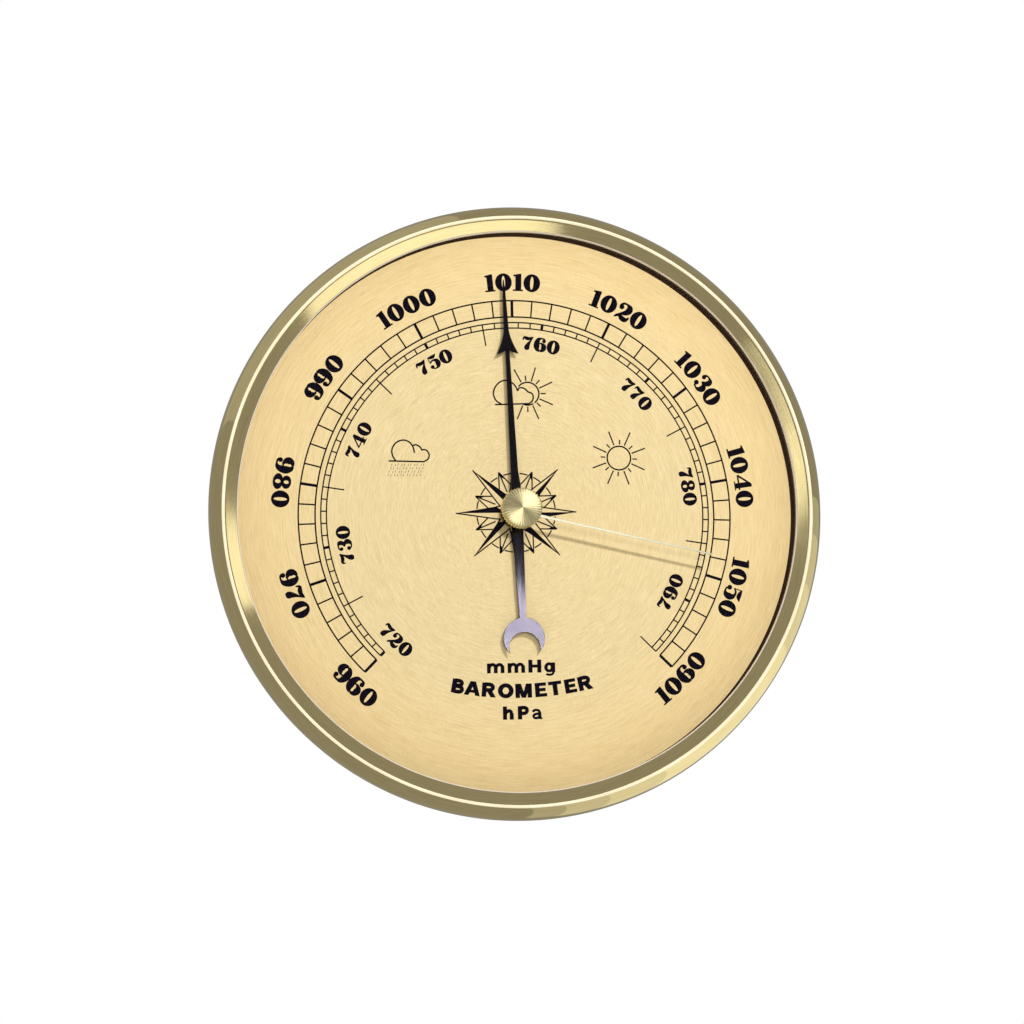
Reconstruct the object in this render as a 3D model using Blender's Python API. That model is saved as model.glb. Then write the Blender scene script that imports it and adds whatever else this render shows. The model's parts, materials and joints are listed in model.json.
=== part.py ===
"""Aneroid wall barometer, 132 mm across: case, bezel, glass, dial, hands and the aneroid movement.

The origin is the centre of the flat back face, on the dial's axis. The dial faces -Y, with +Z up and +X to
the right of someone who reads it. Depths are given as "forward" distances from the back face, towards the
reader, so a point at forward distance f lies at y = -f. Places on the dial's plane are (x, z) pairs.
"""

import math

import bmesh
import bpy
from mathutils import Matrix, Vector

MM = 0.001
GAP = 0.3 * MM  # left between pieces that touch
RUNNING_FIT = 0.08 * MM  # radial clearance of a shaft that turns in its bore

# --- case, bezel, glass and dial -----------------------------------------------------------------------
BEZEL_RADIUS = 66.0 * MM
LIP_RADIUS = 59.8 * MM
CREST_RADIUS = 63.1 * MM
CREST_FORWARD = 34.8 * MM
LIP_FORWARD = 34.0 * MM
SHEET = 0.75 * MM  # bezel sheet
BEZEL_REAR = 23.0 * MM

CASE_RADIUS = 61.0 * MM
CASE_WALL = 0.8 * MM
CASE_CORNER = 2.0 * MM
FLANGE_RADIUS = 64.3 * MM
FLANGE_FRONT = 24.9 * MM

DIAL_RADIUS = 62.3 * MM
DIAL_BACK = 25.2 * MM
DIAL_FRONT = 25.8 * MM
DIAL_HOLE_RADIUS = 3.4 * MM

GLASS_RADIUS = 62.0 * MM
GLASS_BACK = 31.0 * MM
GLASS_FRONT = 33.0 * MM
GLASS_HOLE_RADIUS = 2.5 * MM
RING_RADIUS = 60.3 * MM  # inside of the gasket and the spacer ring
GASKET = 0.8 * MM

KEYHOLE = (0.0, 44.0 * MM)
KEYHOLE_RADIUS = 4.0 * MM
KEYHOLE_SLOT_RADIUS = 2.3 * MM
KEYHOLE_SLOT_LENGTH = 6.0 * MM
ADJUSTER_HOLE_RADIUS = 3.3 * MM

# --- hands ---------------------------------------------------------------------------------------------
SCALE_LOW, SCALE_HIGH = 960.0, 1060.0  # hPa
SCALE_SWEEP = 270.0  # degrees, centred on the top of the dial
READING = 1009.2  # hPa, where the pointer rests
SET_READING = 1048.2  # hPa, where the set hand rests

POINTER_BACK = 26.8 * MM
POINTER_THICKNESS = 0.35 * MM
POINTER_HUB_RADIUS = 2.1 * MM
POINTER_HUB_BACK = 26.2 * MM
POINTER_HUB_FRONT = 27.8 * MM
POINTER_TIP = 50.6 * MM
HEAD_TOP = 39.8 * MM
HEAD_NOTCH = 35.2 * MM
HEAD_BARB = 34.4 * MM
HEAD_HALF_WIDTH = 2.4 * MM
HEAD_HOLLOW = 1.6  # exponent of the head's hollow sides; 1 would make them straight
NECK_HALF_WIDTH = 0.36 * MM
SHAFT_HALF_WIDTH = 0.44 * MM
EYE_RADIUS = 3.3 * MM
TAIL_ROOT_HALF_WIDTH = 1.2 * MM
TAIL_END_HALF_WIDTH = 0.72 * MM
CRESCENT_CENTRE = 27.2 * MM
CRESCENT_RADIUS = 4.45 * MM
CRESCENT_BITE_CENTRE = 29.2 * MM
CRESCENT_BITE_RADIUS = 3.35 * MM

SET_HAND_BACK = 29.5 * MM
SET_HAND_THICKNESS = 0.3 * MM
SET_HAND_LENGTH = 43.0 * MM
SET_HAND_ROOT_HALF_WIDTH = 0.27 * MM
SET_HAND_TIP_HALF_WIDTH = 0.15 * MM
KNOB_RADIUS = 4.25 * MM
KNOB_BACK = 34.1 * MM
KNOB_FRONT = 38.5 * MM
KNOB_FLUTES = 40
KNOB_CONE = 0.9 * MM  # rise of the knob's face from its rim to its middle
SPINDLE_RADIUS = 1.0 * MM
SPINDLE_FRONT = 36.0 * MM
SPINDLE_HEAD_RADIUS = 1.7 * MM
SPINDLE_HEAD = 0.4 * MM
GLASS_BUSH_RADIUS = 2.2 * MM
GLASS_BUSH_FLANGE_RADIUS = 3.2 * MM
GLASS_BUSH_FLANGE = 0.5 * MM

# --- movement ------------------------------------------------------------------------------------------
BASE_BACK = 4.0 * MM
BASE_FRONT = 5.2 * MM
BASE_CENTRE = (-11.0 * MM, -11.0 * MM)
BASE_RADIUS = 43.0 * MM
PLATE_BACK = 22.4 * MM
PLATE_FRONT = 23.4 * MM

SCREW_RADIUS = 1.0 * MM  # M2 screws
SCREW_HOLE_RADIUS = 1.3 * MM
PAN_HEAD_RADIUS = 2.1 * MM
PAN_HEAD = 0.9 * MM
COUNTERSUNK_RADIUS = 2.2 * MM
COUNTERSINK_RADIUS = 2.6 * MM
SCREW_SLOT_HALF_WIDTH = 0.3 * MM
SPACER_RADIUS = 3.0 * MM
SPACER_BORE_RADIUS = 1.5 * MM
PILLAR_RADIUS = 2.3 * MM
PILLAR_HOLE_RADIUS = 1.6 * MM
BUSH_RADIUS = 1.6 * MM
BUSH_HOLE_RADIUS = 1.9 * MM

MODULE = 0.4 * MM
PINION_TEETH = 12
SECTOR_WHEEL_TEETH = 120  # the full wheel that the sector is a part of
SECTOR_TEETH = 14
PRESSURE_ANGLE = math.radians(25.0)
ADDENDUM = 0.8 * MODULE
DEDENDUM = 1.05 * MODULE
BACKLASH = 0.06 * MM
SECTOR_BACK = 9.0 * MM
SECTOR_FRONT = 10.2 * MM
SECTOR_CENTRE = (0.0, -MODULE * (PINION_TEETH + SECTOR_WHEEL_TEETH) / 2)

ARBOR_RADIUS = 1.2 * MM
PIVOT_RADIUS = 0.75 * MM
ARBOR_BACK, ARBOR_REAR_SHOULDER = 3.6 * MM, 6.3 * MM
ARBOR_FRONT_SHOULDER = 21.4 * MM
SECTOR_ARBOR_FRONT = 23.7 * MM
CENTRE_ARBOR_FRONT = 27.9 * MM
TAIL_LENGTH = 8.0 * MM
TAIL_CONTACT = 6.5 * MM  # from the sector's arbor to the finger that works the tail
TAIL_HALF_WIDTH = 1.0 * MM
FINGER_HALF_WIDTH = 0.6 * MM

ROCKER_FORWARD = 19.2 * MM
ROCKER_Z = SECTOR_CENTRE[1] - TAIL_HALF_WIDTH - GAP - FINGER_HALF_WIDTH
ROCKER_ARM = 3.0 * MM  # from the rocker's axis to the capsule's post
ROCKER_LEFT, ROCKER_RIGHT = -35.0 * MM, -3.0 * MM
ROCKER_HUB_RADIUS = 1.7 * MM

CAPSULE_CENTRE = (-28.0 * MM, ROCKER_Z + ROCKER_ARM)
CAPSULE_RADIUS = 17.5 * MM
CAPSULE_BACK = 6.0 * MM
CAPSULE_FRONT = 13.0 * MM
CAPSULE_STUD_RADIUS = 1.5 * MM
CAPSULE_STUD_HOLE_RADIUS = 1.8 * MM
POST_RADIUS = 1.0 * MM
SPRING_BACK = 14.2 * MM
SPRING_FRONT = 15.0 * MM
SPRING_HALF_WIDTH = 6.0 * MM
ADJUSTER = (CAPSULE_CENTRE[0], 8.0 * MM)
ADJUSTER_RADIUS = 1.5 * MM
ADJUSTER_BUSH_RADIUS = 3.2 * MM
ADJUSTER_BUSH_HOLE_RADIUS = 3.5 * MM

CASE_SCREWS = [(22.0 * MM, 4.0 * MM), (8.0 * MM, -46.0 * MM), (-46.0 * MM, 0.0)]
PILLARS = [(14.0 * MM, 14.0 * MM), (14.0 * MM, -40.0 * MM), (-50.0 * MM, -16.0 * MM)]
PLATE_CORNER = (-38.0 * MM, -34.0 * MM)  # the front plate's fourth corner, over the rocker's left end
SPRING_SCREWS = [(CAPSULE_CENTRE[0] + side * 3.0 * MM, -1.0 * MM) for side in (-1, 1)]
BRACKET_SCREWS = [(x, ROCKER_Z - 3.0 * MM) for x in (-24.0 * MM, -12.0 * MM)]

ROUND = 64  # facets of the large turned pieces
SMALL_ROUND = 16  # facets of shafts, bushes and screws

COLOURS = {  # base colour, metallic, roughness
    "gold_bezel": ((0.62, 0.52, 0.24), 1.0, 0.30),
    "gold_dial": ((0.91, 0.75, 0.42), 0.6, 0.45),
    "bright_brass": ((0.85, 0.72, 0.38), 1.0, 0.25),
    "brass": ((0.72, 0.56, 0.27), 1.0, 0.35),
    "blued_steel": ((0.03, 0.03, 0.05), 0.8, 0.30),
    "spring_steel": ((0.36, 0.38, 0.42), 1.0, 0.32),
    "zinc_steel": ((0.55, 0.55, 0.54), 1.0, 0.40),
    "case_steel": ((0.44, 0.42, 0.38), 1.0, 0.45),
    "capsule_metal": ((0.66, 0.64, 0.60), 1.0, 0.30),
    "glass": ((0.95, 0.97, 0.96), 0.0, 0.02),
    "black_rubber": ((0.02, 0.02, 0.02), 0.0, 0.70),
    "black_plastic": ((0.03, 0.025, 0.02), 0.0, 0.50),
}


# --- tools for making pieces ---------------------------------------------------------------------------
def clear_scene():
    for old in list(bpy.data.objects):
        bpy.data.objects.remove(old, do_unlink=True)


def material(slot):
    """The Principled material of that name, made once."""
    found = bpy.data.materials.get(slot)
    if found:
        return found
    colour, metallic, roughness = COLOURS[slot]
    made = bpy.data.materials.new(slot)
    made.use_nodes = True
    shader = made.node_tree.nodes["Principled BSDF"]
    shader.inputs["Base Color"].default_value = (*colour, 1.0)
    shader.inputs["Metallic"].default_value = metallic
    shader.inputs["Roughness"].default_value = roughness
    return made


def add_object(name, bm, slot, origin):
    """Links the mesh as an object whose own origin is at the given point, where a moving piece turns."""
    bmesh.ops.remove_doubles(bm, verts=bm.verts, dist=1e-7)
    bmesh.ops.recalc_face_normals(bm, faces=bm.faces)
    bmesh.ops.translate(bm, verts=bm.verts, vec=-Vector(origin))
    mesh = bpy.data.meshes.new(name)
    bm.to_mesh(mesh)
    bm.free()
    mesh.shade_smooth()
    mesh.set_sharp_from_angle(angle=math.radians(35.0))
    made = bpy.data.objects.new(name, mesh)
    made.location = origin
    mesh.materials.append(material(slot))
    bpy.context.scene.collection.objects.link(made)
    return made


def at(place, forward):
    """The point over a place on the dial's plane, at a forward distance."""
    return Vector((place[0], -forward, place[1]))


def polar(centre, radius, angle):
    """A place at an angle in radians, counter-clockwise from +X as the reader sees it."""
    return (centre[0] + radius * math.cos(angle), centre[1] + radius * math.sin(angle))


def arc(centre, radius, start, end, steps):
    """Places along an arc, both ends included, from one angle in degrees to another."""
    turns = [math.radians(start + (end - start) * i / steps) for i in range(steps + 1)]
    return [polar(centre, radius, turn) for turn in turns]


def circle(centre, radius, steps=SMALL_ROUND):
    return arc(centre, radius, 0.0, 360.0, steps)[:-1]


def turned(name, profile, slot, centre=(0.0, 0.0), steps=SMALL_ROUND):
    """A piece turned about the forward line through centre. The profile's (radius, forward) points go
    once round its section, or from the axis to the axis."""
    bm = bmesh.new()
    rim = [bm.verts.new(at((centre[0] + radius, centre[1]), forward)) for radius, forward in profile]
    on_axis = profile[0][0] == 0.0 and profile[-1][0] == 0.0
    pairs = zip(rim, rim[1:] if on_axis else rim[1:] + rim[:1])
    edges = [bm.edges.new(pair) for pair in pairs]
    bmesh.ops.spin(
        bm,
        geom=rim + edges,
        cent=at(centre, 0.0),
        axis=(0.0, 1.0, 0.0),
        angle=math.tau,
        steps=steps,
        use_merge=True,
    )
    return add_object(name, bm, slot, at(centre, 0.0))


def tube(name, inner, outer, back, front, slot, centre=(0.0, 0.0), steps=SMALL_ROUND):
    profile = [(outer, back), (outer, front), (inner, front), (inner, back)]
    return turned(name, profile, slot, centre, steps)


def plate(name, outline, back, front, slot, holes=(), origin=None):
    """A flat piece with holes, from its outline and the outlines of its holes as lists of places."""
    bm = bmesh.new()
    edges = []
    for loop in (outline, *holes):
        ring = [bm.verts.new(at(place, back)) for place in loop]
        edges += [bm.edges.new(pair) for pair in zip(ring, ring[1:] + ring[:1])]
    filled = bmesh.ops.triangle_fill(bm, use_beauty=True, use_dissolve=False, edges=edges)
    faces = [item for item in filled["geom"] if isinstance(item, bmesh.types.BMFace)]
    raised = bmesh.ops.extrude_face_region(bm, geom=faces, use_keep_orig=True)
    points = [item for item in raised["geom"] if isinstance(item, bmesh.types.BMVert)]
    bmesh.ops.translate(bm, verts=points, vec=(0.0, back - front, 0.0))
    return add_object(name, bm, slot, origin or at((0.0, 0.0), 0.0))


def bar_mesh(bm, start, end, radius, steps):
    """Adds a closed cylinder from one point to another."""
    run = end - start
    turn = run.to_track_quat("Z", "Y").to_matrix().to_4x4()
    place = Matrix.Translation((start + end) / 2) @ turn
    bmesh.ops.create_cone(
        bm,
        cap_ends=True,
        segments=steps,
        radius1=radius,
        radius2=radius,
        depth=run.length,
        matrix=place,
    )


def box_mesh(bm, low, high):
    """Adds a closed box between two (x, forward, z) corners."""
    size = Vector(high) - Vector(low)
    middle = (Vector(low) + Vector(high)) / 2
    place = Matrix.Translation((middle.x, -middle.y, middle.z)) @ Matrix.Diagonal((*size, 1.0))
    bmesh.ops.create_cube(bm, size=1.0, matrix=place)


def cut(target, name, build):
    """Cuts away the closed bodies that build(bm) makes."""
    bm = bmesh.new()
    build(bm)
    bmesh.ops.recalc_face_normals(bm, faces=bm.faces)
    mesh = bpy.data.meshes.new(name)
    bm.to_mesh(mesh)
    bm.free()
    cutter = bpy.data.objects.new(name, mesh)
    cutter.hide_render = True
    cutter.display_type = "WIRE"
    bpy.context.scene.collection.objects.link(cutter)
    boolean = target.modifiers.new(name, "BOOLEAN")
    boolean.operation = "DIFFERENCE"
    boolean.solver = "EXACT"
    boolean.object = cutter


def hull_outline(corners, radius):
    """The outline round circles of one radius at the corners of a convex shape, listed clockwise."""
    outline = []
    for i, corner in enumerate(corners):
        before, after = corners[i - 1], corners[(i + 1) % len(corners)]
        arrive = math.atan2(corner[1] - before[1], corner[0] - before[0]) + math.pi / 2
        leave = math.atan2(after[1] - corner[1], after[0] - corner[0]) + math.pi / 2
        turn = (arrive - leave) % math.tau
        outline += arc(corner, radius, math.degrees(arrive), math.degrees(arrive - turn), 6)
    return outline


def dial_turn(reading):
    """Degrees clockwise from the top of the dial at a reading in hPa."""
    middle = (SCALE_LOW + SCALE_HIGH) / 2
    return (reading - middle) * SCALE_SWEEP / (SCALE_HIGH - SCALE_LOW)


def laid_along(outline, clockwise):
    """Turns an outline drawn upwards so that it points that many degrees clockwise from the top."""
    turn = Matrix.Rotation(-math.radians(clockwise), 2)
    return [tuple(turn @ Vector(place)) for place in outline]


# --- case and front ------------------------------------------------------------------------------------
def rear_case():
    """A drawn cup with a flange at its mouth, and in its back the hanging keyhole, the hole that gives a
    screwdriver the adjusting screw, and the movement's three screw holes."""
    inner = CASE_RADIUS - CASE_WALL
    flange_back = FLANGE_FRONT - CASE_WALL
    profile = [(0.0, 0.0)]
    profile += [
        (CASE_RADIUS - CASE_CORNER + CASE_CORNER * math.sin(t), CASE_CORNER - CASE_CORNER * math.cos(t))
        for t in [math.radians(22.5 * i) for i in range(5)]
    ]
    profile += [(CASE_RADIUS, flange_back), (FLANGE_RADIUS, flange_back), (FLANGE_RADIUS, FLANGE_FRONT)]
    profile += [(inner, FLANGE_FRONT), (inner, CASE_CORNER), (CASE_RADIUS - CASE_CORNER, CASE_WALL)]
    profile += [(0.0, CASE_WALL)]
    case = turned("rear_case", profile, "case_steel", steps=ROUND)
    cut_back, cut_front = -2.0 * MM, 3.0 * MM

    def holes(bm):
        for place in CASE_SCREWS:
            bar_mesh(bm, at(place, cut_back), at(place, cut_front), COUNTERSINK_RADIUS, SMALL_ROUND)
        bar_mesh(bm, at(ADJUSTER, cut_back), at(ADJUSTER, cut_front), ADJUSTER_HOLE_RADIUS, SMALL_ROUND)
        keyhole_prism(bm, cut_back, cut_front)

    cut(case, "case_holes", holes)


def keyhole_prism(bm, back, front):
    """The keyhole: a round entry, with a slot that runs up from it to a round end."""
    half_angle = math.degrees(math.asin(KEYHOLE_SLOT_RADIUS / KEYHOLE_RADIUS))
    slot_end = (KEYHOLE[0], KEYHOLE[1] + KEYHOLE_SLOT_LENGTH)
    outline = arc(KEYHOLE, KEYHOLE_RADIUS, 90.0 + half_angle, 450.0 - half_angle, 20)
    outline += arc(slot_end, KEYHOLE_SLOT_RADIUS, 0.0, 180.0, 10)
    ring = [bm.verts.new(at(place, back)) for place in outline]
    base = bm.faces.new(ring)
    raised = bmesh.ops.extrude_face_region(bm, geom=[base], use_keep_orig=True)
    points = [item for item in raised["geom"] if isinstance(item, bmesh.types.BMVert)]
    bmesh.ops.translate(bm, verts=points, vec=(0.0, back - front, 0.0))


def bezel():
    """A pressed ring: a flat brushed face round the glass, a sharp crest, a rounded outer side, and a
    rear edge turned in behind the case's flange."""
    crease = CREST_RADIUS - 0.5 * MM
    crease_forward = CREST_FORWARD - 0.4 * MM
    round_forward = 31.0 * MM
    width = BEZEL_RADIUS - CREST_RADIUS
    height = CREST_FORWARD - round_forward
    quarter = [math.radians(80.0 - 20.0 * i) for i in range(5)]
    outside = [
        (CREST_RADIUS + width * math.cos(t), round_forward + height * math.sin(t)) for t in quarter
    ]
    inside = [
        (CREST_RADIUS + (width - SHEET) * math.cos(t), round_forward + (height - SHEET) * math.sin(t))
        for t in reversed(quarter)
    ]
    turned_in = CASE_RADIUS + 0.5 * MM
    profile = [(LIP_RADIUS, LIP_FORWARD - 0.7 * MM), (LIP_RADIUS, LIP_FORWARD), (crease, crease_forward)]
    profile += outside
    profile += [(BEZEL_RADIUS - 0.4 * MM, 26.5 * MM), (BEZEL_RADIUS - 0.5 * MM, BEZEL_REAR + 0.6 * MM)]
    profile += [(BEZEL_RADIUS - 1.1 * MM, BEZEL_REAR), (turned_in, BEZEL_REAR)]
    profile += [(turned_in, BEZEL_REAR + SHEET), (BEZEL_RADIUS - 1.25 * MM, BEZEL_REAR + SHEET)]
    profile += [(BEZEL_RADIUS - 0.4 * MM - SHEET, 26.5 * MM)]
    profile += inside
    profile += [(crease, crease_forward - SHEET)]
    turned("bezel", profile, "gold_bezel", steps=ROUND)


def front_stack():
    """The glass, the ring of rubber behind it, the spacer that stands it off the dial, and the dial."""
    tube("glass", GLASS_HOLE_RADIUS, GLASS_RADIUS, GLASS_BACK, GLASS_FRONT, "glass", steps=ROUND)
    gasket_back = GLASS_BACK - GAP - GASKET
    gasket_front = gasket_back + GASKET
    tube("glass_gasket", RING_RADIUS, GLASS_RADIUS, gasket_back, gasket_front, "black_rubber", steps=ROUND)
    spacer_back, spacer_front = DIAL_FRONT + GAP, gasket_back - GAP
    tube("spacer_ring", RING_RADIUS, DIAL_RADIUS, spacer_back, spacer_front, "black_plastic", steps=ROUND)
    tube("dial", DIAL_HOLE_RADIUS, DIAL_RADIUS, DIAL_BACK, DIAL_FRONT, "gold_dial", steps=ROUND)


# --- hands ---------------------------------------------------------------------------------------------
def pointer_outline():
    """The pointer drawn upwards: a fine tip, a barbed arrowhead with hollow sides, a shaft, the eye round
    the hub, and a tail that ends in a crescent open downwards. The right side is drawn first, and the
    left is its mirror image."""
    right = [(0.06 * MM, POINTER_TIP), (0.75 * NECK_HALF_WIDTH, HEAD_TOP + 2.0 * MM)]
    for i in range(5):
        share = i / 4
        half = NECK_HALF_WIDTH + (HEAD_HALF_WIDTH - NECK_HALF_WIDTH) * share**HEAD_HOLLOW
        right.append((half, HEAD_TOP + (HEAD_BARB - HEAD_TOP) * share))
    right += [(SHAFT_HALF_WIDTH, HEAD_NOTCH), (2 * SHAFT_HALF_WIDTH, EYE_RADIUS)]
    right += arc((0.0, 0.0), EYE_RADIUS, 65.0, -65.0, 10)
    shoulder = math.degrees(math.acos(TAIL_END_HALF_WIDTH / CRESCENT_RADIUS))
    centre, bite = (0.0, -CRESCENT_CENTRE), (0.0, -CRESCENT_BITE_CENTRE)
    right += [(TAIL_ROOT_HALF_WIDTH, -EYE_RADIUS - 0.6 * MM)]
    right += arc(centre, CRESCENT_RADIUS, shoulder, crescent_tip_angle(), 14)
    tip = Vector(right[-1]) - Vector(bite)
    right += arc(bite, CRESCENT_BITE_RADIUS, math.degrees(math.atan2(tip.y, tip.x)), 90.0, 8)[1:]
    left = [(-x, z) for x, z in reversed(right[:-1])]
    return right + left


def crescent_tip_angle():
    """The angle in degrees, about the crescent's centre, at which the bite meets its outside."""
    apart = CRESCENT_BITE_CENTRE - CRESCENT_CENTRE
    along = (CRESCENT_RADIUS**2 - CRESCENT_BITE_RADIUS**2 + apart**2) / (2 * apart)
    return math.degrees(-math.asin(along / CRESCENT_RADIUS))


def pointer():
    """The pointer and the hub that grips the arbor's front end."""
    turn = dial_turn(READING)
    eye = circle((0.0, 0.0), POINTER_HUB_RADIUS + GAP)
    outline = laid_along(pointer_outline(), turn)
    plate("pointer", outline, POINTER_BACK, POINTER_BACK + POINTER_THICKNESS, "blued_steel", [eye])
    bore = PIVOT_RADIUS + GAP
    tube("pointer_hub", bore, POINTER_HUB_RADIUS, POINTER_HUB_BACK, POINTER_HUB_FRONT, "brass")


def set_hand():
    """The hand that is set by the knob, held under the glass by a riveted spindle and a spring washer."""
    hub = 2.5 * MM
    root = math.degrees(math.acos(SET_HAND_ROOT_HALF_WIDTH / hub))
    outline = arc((0.0, 0.0), hub, root, root - 360.0 + 2 * (90.0 - root), 20)
    tip_half = SET_HAND_TIP_HALF_WIDTH
    outline += [(-tip_half, SET_HAND_LENGTH), (tip_half, SET_HAND_LENGTH)]
    outline = laid_along(outline, dial_turn(SET_READING))
    hole = circle((0.0, 0.0), SPINDLE_RADIUS + GAP)
    front = SET_HAND_BACK + SET_HAND_THICKNESS
    plate("set_hand", outline, SET_HAND_BACK, front, "bright_brass", [hole])
    washer = 2.3 * MM
    tube("friction_washer", SPINDLE_RADIUS + GAP, washer, front + GAP, front + 2 * GAP, "spring_steel")
    head_front = SET_HAND_BACK - GAP
    head_back = head_front - SPINDLE_HEAD
    spindle = [(0.0, head_back), (SPINDLE_HEAD_RADIUS, head_back), (SPINDLE_HEAD_RADIUS, head_front)]
    spindle += [(SPINDLE_RADIUS, head_front), (SPINDLE_RADIUS, SPINDLE_FRONT), (0.0, SPINDLE_FRONT)]
    turned("set_spindle", spindle, "brass")
    bush_back, flange_back = GLASS_BACK - GAP, GLASS_FRONT + GAP
    flange_front = flange_back + GLASS_BUSH_FLANGE
    bush = [(GLASS_BUSH_RADIUS, bush_back), (GLASS_BUSH_RADIUS, flange_back)]
    bush += [(GLASS_BUSH_FLANGE_RADIUS, flange_back), (GLASS_BUSH_FLANGE_RADIUS, flange_front)]
    bush += [(SPINDLE_RADIUS + RUNNING_FIT, flange_front), (SPINDLE_RADIUS + RUNNING_FIT, bush_back)]
    turned("glass_bush", bush, "brass")


def set_knob():
    """A fluted knob with a shallow cone for a face and a blind hole for the spindle."""
    bm = bmesh.new()
    steps = 2 * KNOB_FLUTES
    groove = 0.25 * MM

    def ring(radius, forward, depth):
        """Every other point drops by the flute's depth."""
        radii = [radius - depth * (i % 2) for i in range(steps)]
        places = [polar((0.0, 0.0), r, math.tau * i / steps) for i, r in enumerate(radii)]
        return [bm.verts.new(at(place, forward)) for place in places]

    bore = SPINDLE_RADIUS + GAP
    bore_end = SPINDLE_FRONT + GAP
    rim_forward = KNOB_FRONT - KNOB_CONE
    rings = [
        ring(bore, bore_end, 0.0),
        ring(bore, KNOB_BACK, 0.0),
        ring(KNOB_RADIUS - 0.5 * MM, KNOB_BACK, 0.0),
        ring(KNOB_RADIUS, KNOB_BACK + 0.4 * MM, groove),
        ring(KNOB_RADIUS, rim_forward - 0.3 * MM, groove),
        ring(KNOB_RADIUS - 0.35 * MM, rim_forward, 0.0),
    ]
    for near, far in zip(rings, rings[1:]):
        for i in range(steps):
            j = (i + 1) % steps
            bm.faces.new((near[i], near[j], far[j], far[i]))
    for last, forward in ((rings[0], bore_end), (rings[-1], KNOB_FRONT)):
        middle = bm.verts.new(at((0.0, 0.0), forward))
        for i in range(steps):
            bm.faces.new((last[i], last[(i + 1) % steps], middle))
    add_object("set_knob", bm, "bright_brass", (0.0, 0.0, 0.0))


# --- movement frame ------------------------------------------------------------------------------------
def base_plate():
    """The round plate that carries the movement, stood off the back of the case on three spacers."""
    holes = [circle(place, SCREW_HOLE_RADIUS) for place in CASE_SCREWS]
    holes += [circle(place, PILLAR_HOLE_RADIUS) for place in PILLARS]
    holes += [circle(CAPSULE_CENTRE, CAPSULE_STUD_HOLE_RADIUS), circle(ADJUSTER, ADJUSTER_BUSH_HOLE_RADIUS)]
    holes += [circle(place, BUSH_HOLE_RADIUS) for place in ((0.0, 0.0), SECTOR_CENTRE)]
    outline = circle(BASE_CENTRE, BASE_RADIUS, ROUND)
    plate("base_plate", outline, BASE_BACK, BASE_FRONT, "zinc_steel", holes)


def case_screws():
    """Countersunk screws, flush with the back of the case, and the spacer tubes they pass through."""
    head, neck, end = 0.1 * MM, 1.2 * MM, BASE_FRONT + 0.6 * MM
    profile = [(0.0, head), (COUNTERSUNK_RADIUS, head), (SCREW_RADIUS, neck), (SCREW_RADIUS, end), (0.0, end)]
    for number, place in enumerate(CASE_SCREWS, 1):
        screw = turned(f"case_screw_{number}", profile, "zinc_steel", place)
        slot_screw(screw, place, COUNTERSUNK_RADIUS + 0.4 * MM, head - 0.5 * MM, head + 0.6 * MM)
        name = f"base_spacer_{number}"
        back, front = CASE_WALL + GAP, BASE_BACK - GAP
        tube(name, SPACER_BORE_RADIUS, SPACER_RADIUS, back, front, "brass", place)


def slot_screw(screw, place, reach, back, front):
    """Cuts a screwdriver slot across a head, between two forward distances."""
    half = SCREW_SLOT_HALF_WIDTH
    low = (place[0] - reach, back, place[1] - half)
    high = (place[0] + reach, front, place[1] + half)
    cut(screw, screw.name + "_slot", lambda bm: box_mesh(bm, low, high))


def pillars():
    """Three shouldered pillars between the plates, with a screw in the front end of each."""
    shoulder, top = BASE_FRONT + GAP, PLATE_BACK - GAP
    rivet = bore = SCREW_HOLE_RADIUS
    floor = top - 4.0 * MM  # of the threaded bore
    profile = [(0.0, BASE_BACK), (rivet, BASE_BACK), (rivet, shoulder), (PILLAR_RADIUS, shoulder)]
    profile += [(PILLAR_RADIUS, top), (bore, top), (bore, floor), (0.0, floor)]
    for number, place in enumerate(PILLARS, 1):
        turned(f"pillar_{number}", profile, "brass", place)
        pan_screw(f"plate_screw_{number}", place, PLATE_FRONT + GAP, floor + 1.0 * MM)


def pan_screw(name, place, head_back, end):
    """A slotted pan-head screw, driven from the front, that reaches back to the forward distance end."""
    head_front = head_back + PAN_HEAD
    profile = [(0.0, end), (SCREW_RADIUS, end), (SCREW_RADIUS, head_back), (PAN_HEAD_RADIUS, head_back)]
    profile += [(PAN_HEAD_RADIUS, head_front - 0.25 * MM), (PAN_HEAD_RADIUS - 0.3 * MM, head_front)]
    profile += [(0.0, head_front)]
    screw = turned(name, profile, "zinc_steel", place)
    slot_screw(screw, place, PAN_HEAD_RADIUS + 0.4 * MM, head_front - 0.4 * MM, head_front + 0.5 * MM)


def front_plate():
    """The plate that holds the front ends of the arbors and the rocker's bracket."""
    corners = [PILLARS[0], PILLARS[1], PLATE_CORNER, PILLARS[2]]
    holes = [circle(place, SCREW_HOLE_RADIUS) for place in (*PILLARS, *BRACKET_SCREWS)]
    holes += [circle(place, BUSH_HOLE_RADIUS) for place in ((0.0, 0.0), SECTOR_CENTRE)]
    plate("front_plate", hull_outline(corners, 4.5 * MM), PLATE_BACK, PLATE_FRONT, "brass", holes)


def bushes():
    """Bearing bushes for the pointer's arbor and the sector's arbor, in both plates."""
    bore = PIVOT_RADIUS + RUNNING_FIT
    proud = 0.5 * MM  # of the plate, on both sides
    for owner, place in (("centre", (0.0, 0.0)), ("sector", SECTOR_CENTRE)):
        for end, back, front in (("rear", BASE_BACK, BASE_FRONT), ("front", PLATE_BACK, PLATE_FRONT)):
            name = f"{owner}_bush_{end}"
            tube(name, bore, BUSH_RADIUS, back - proud, front + proud, "bright_brass", place)


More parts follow.
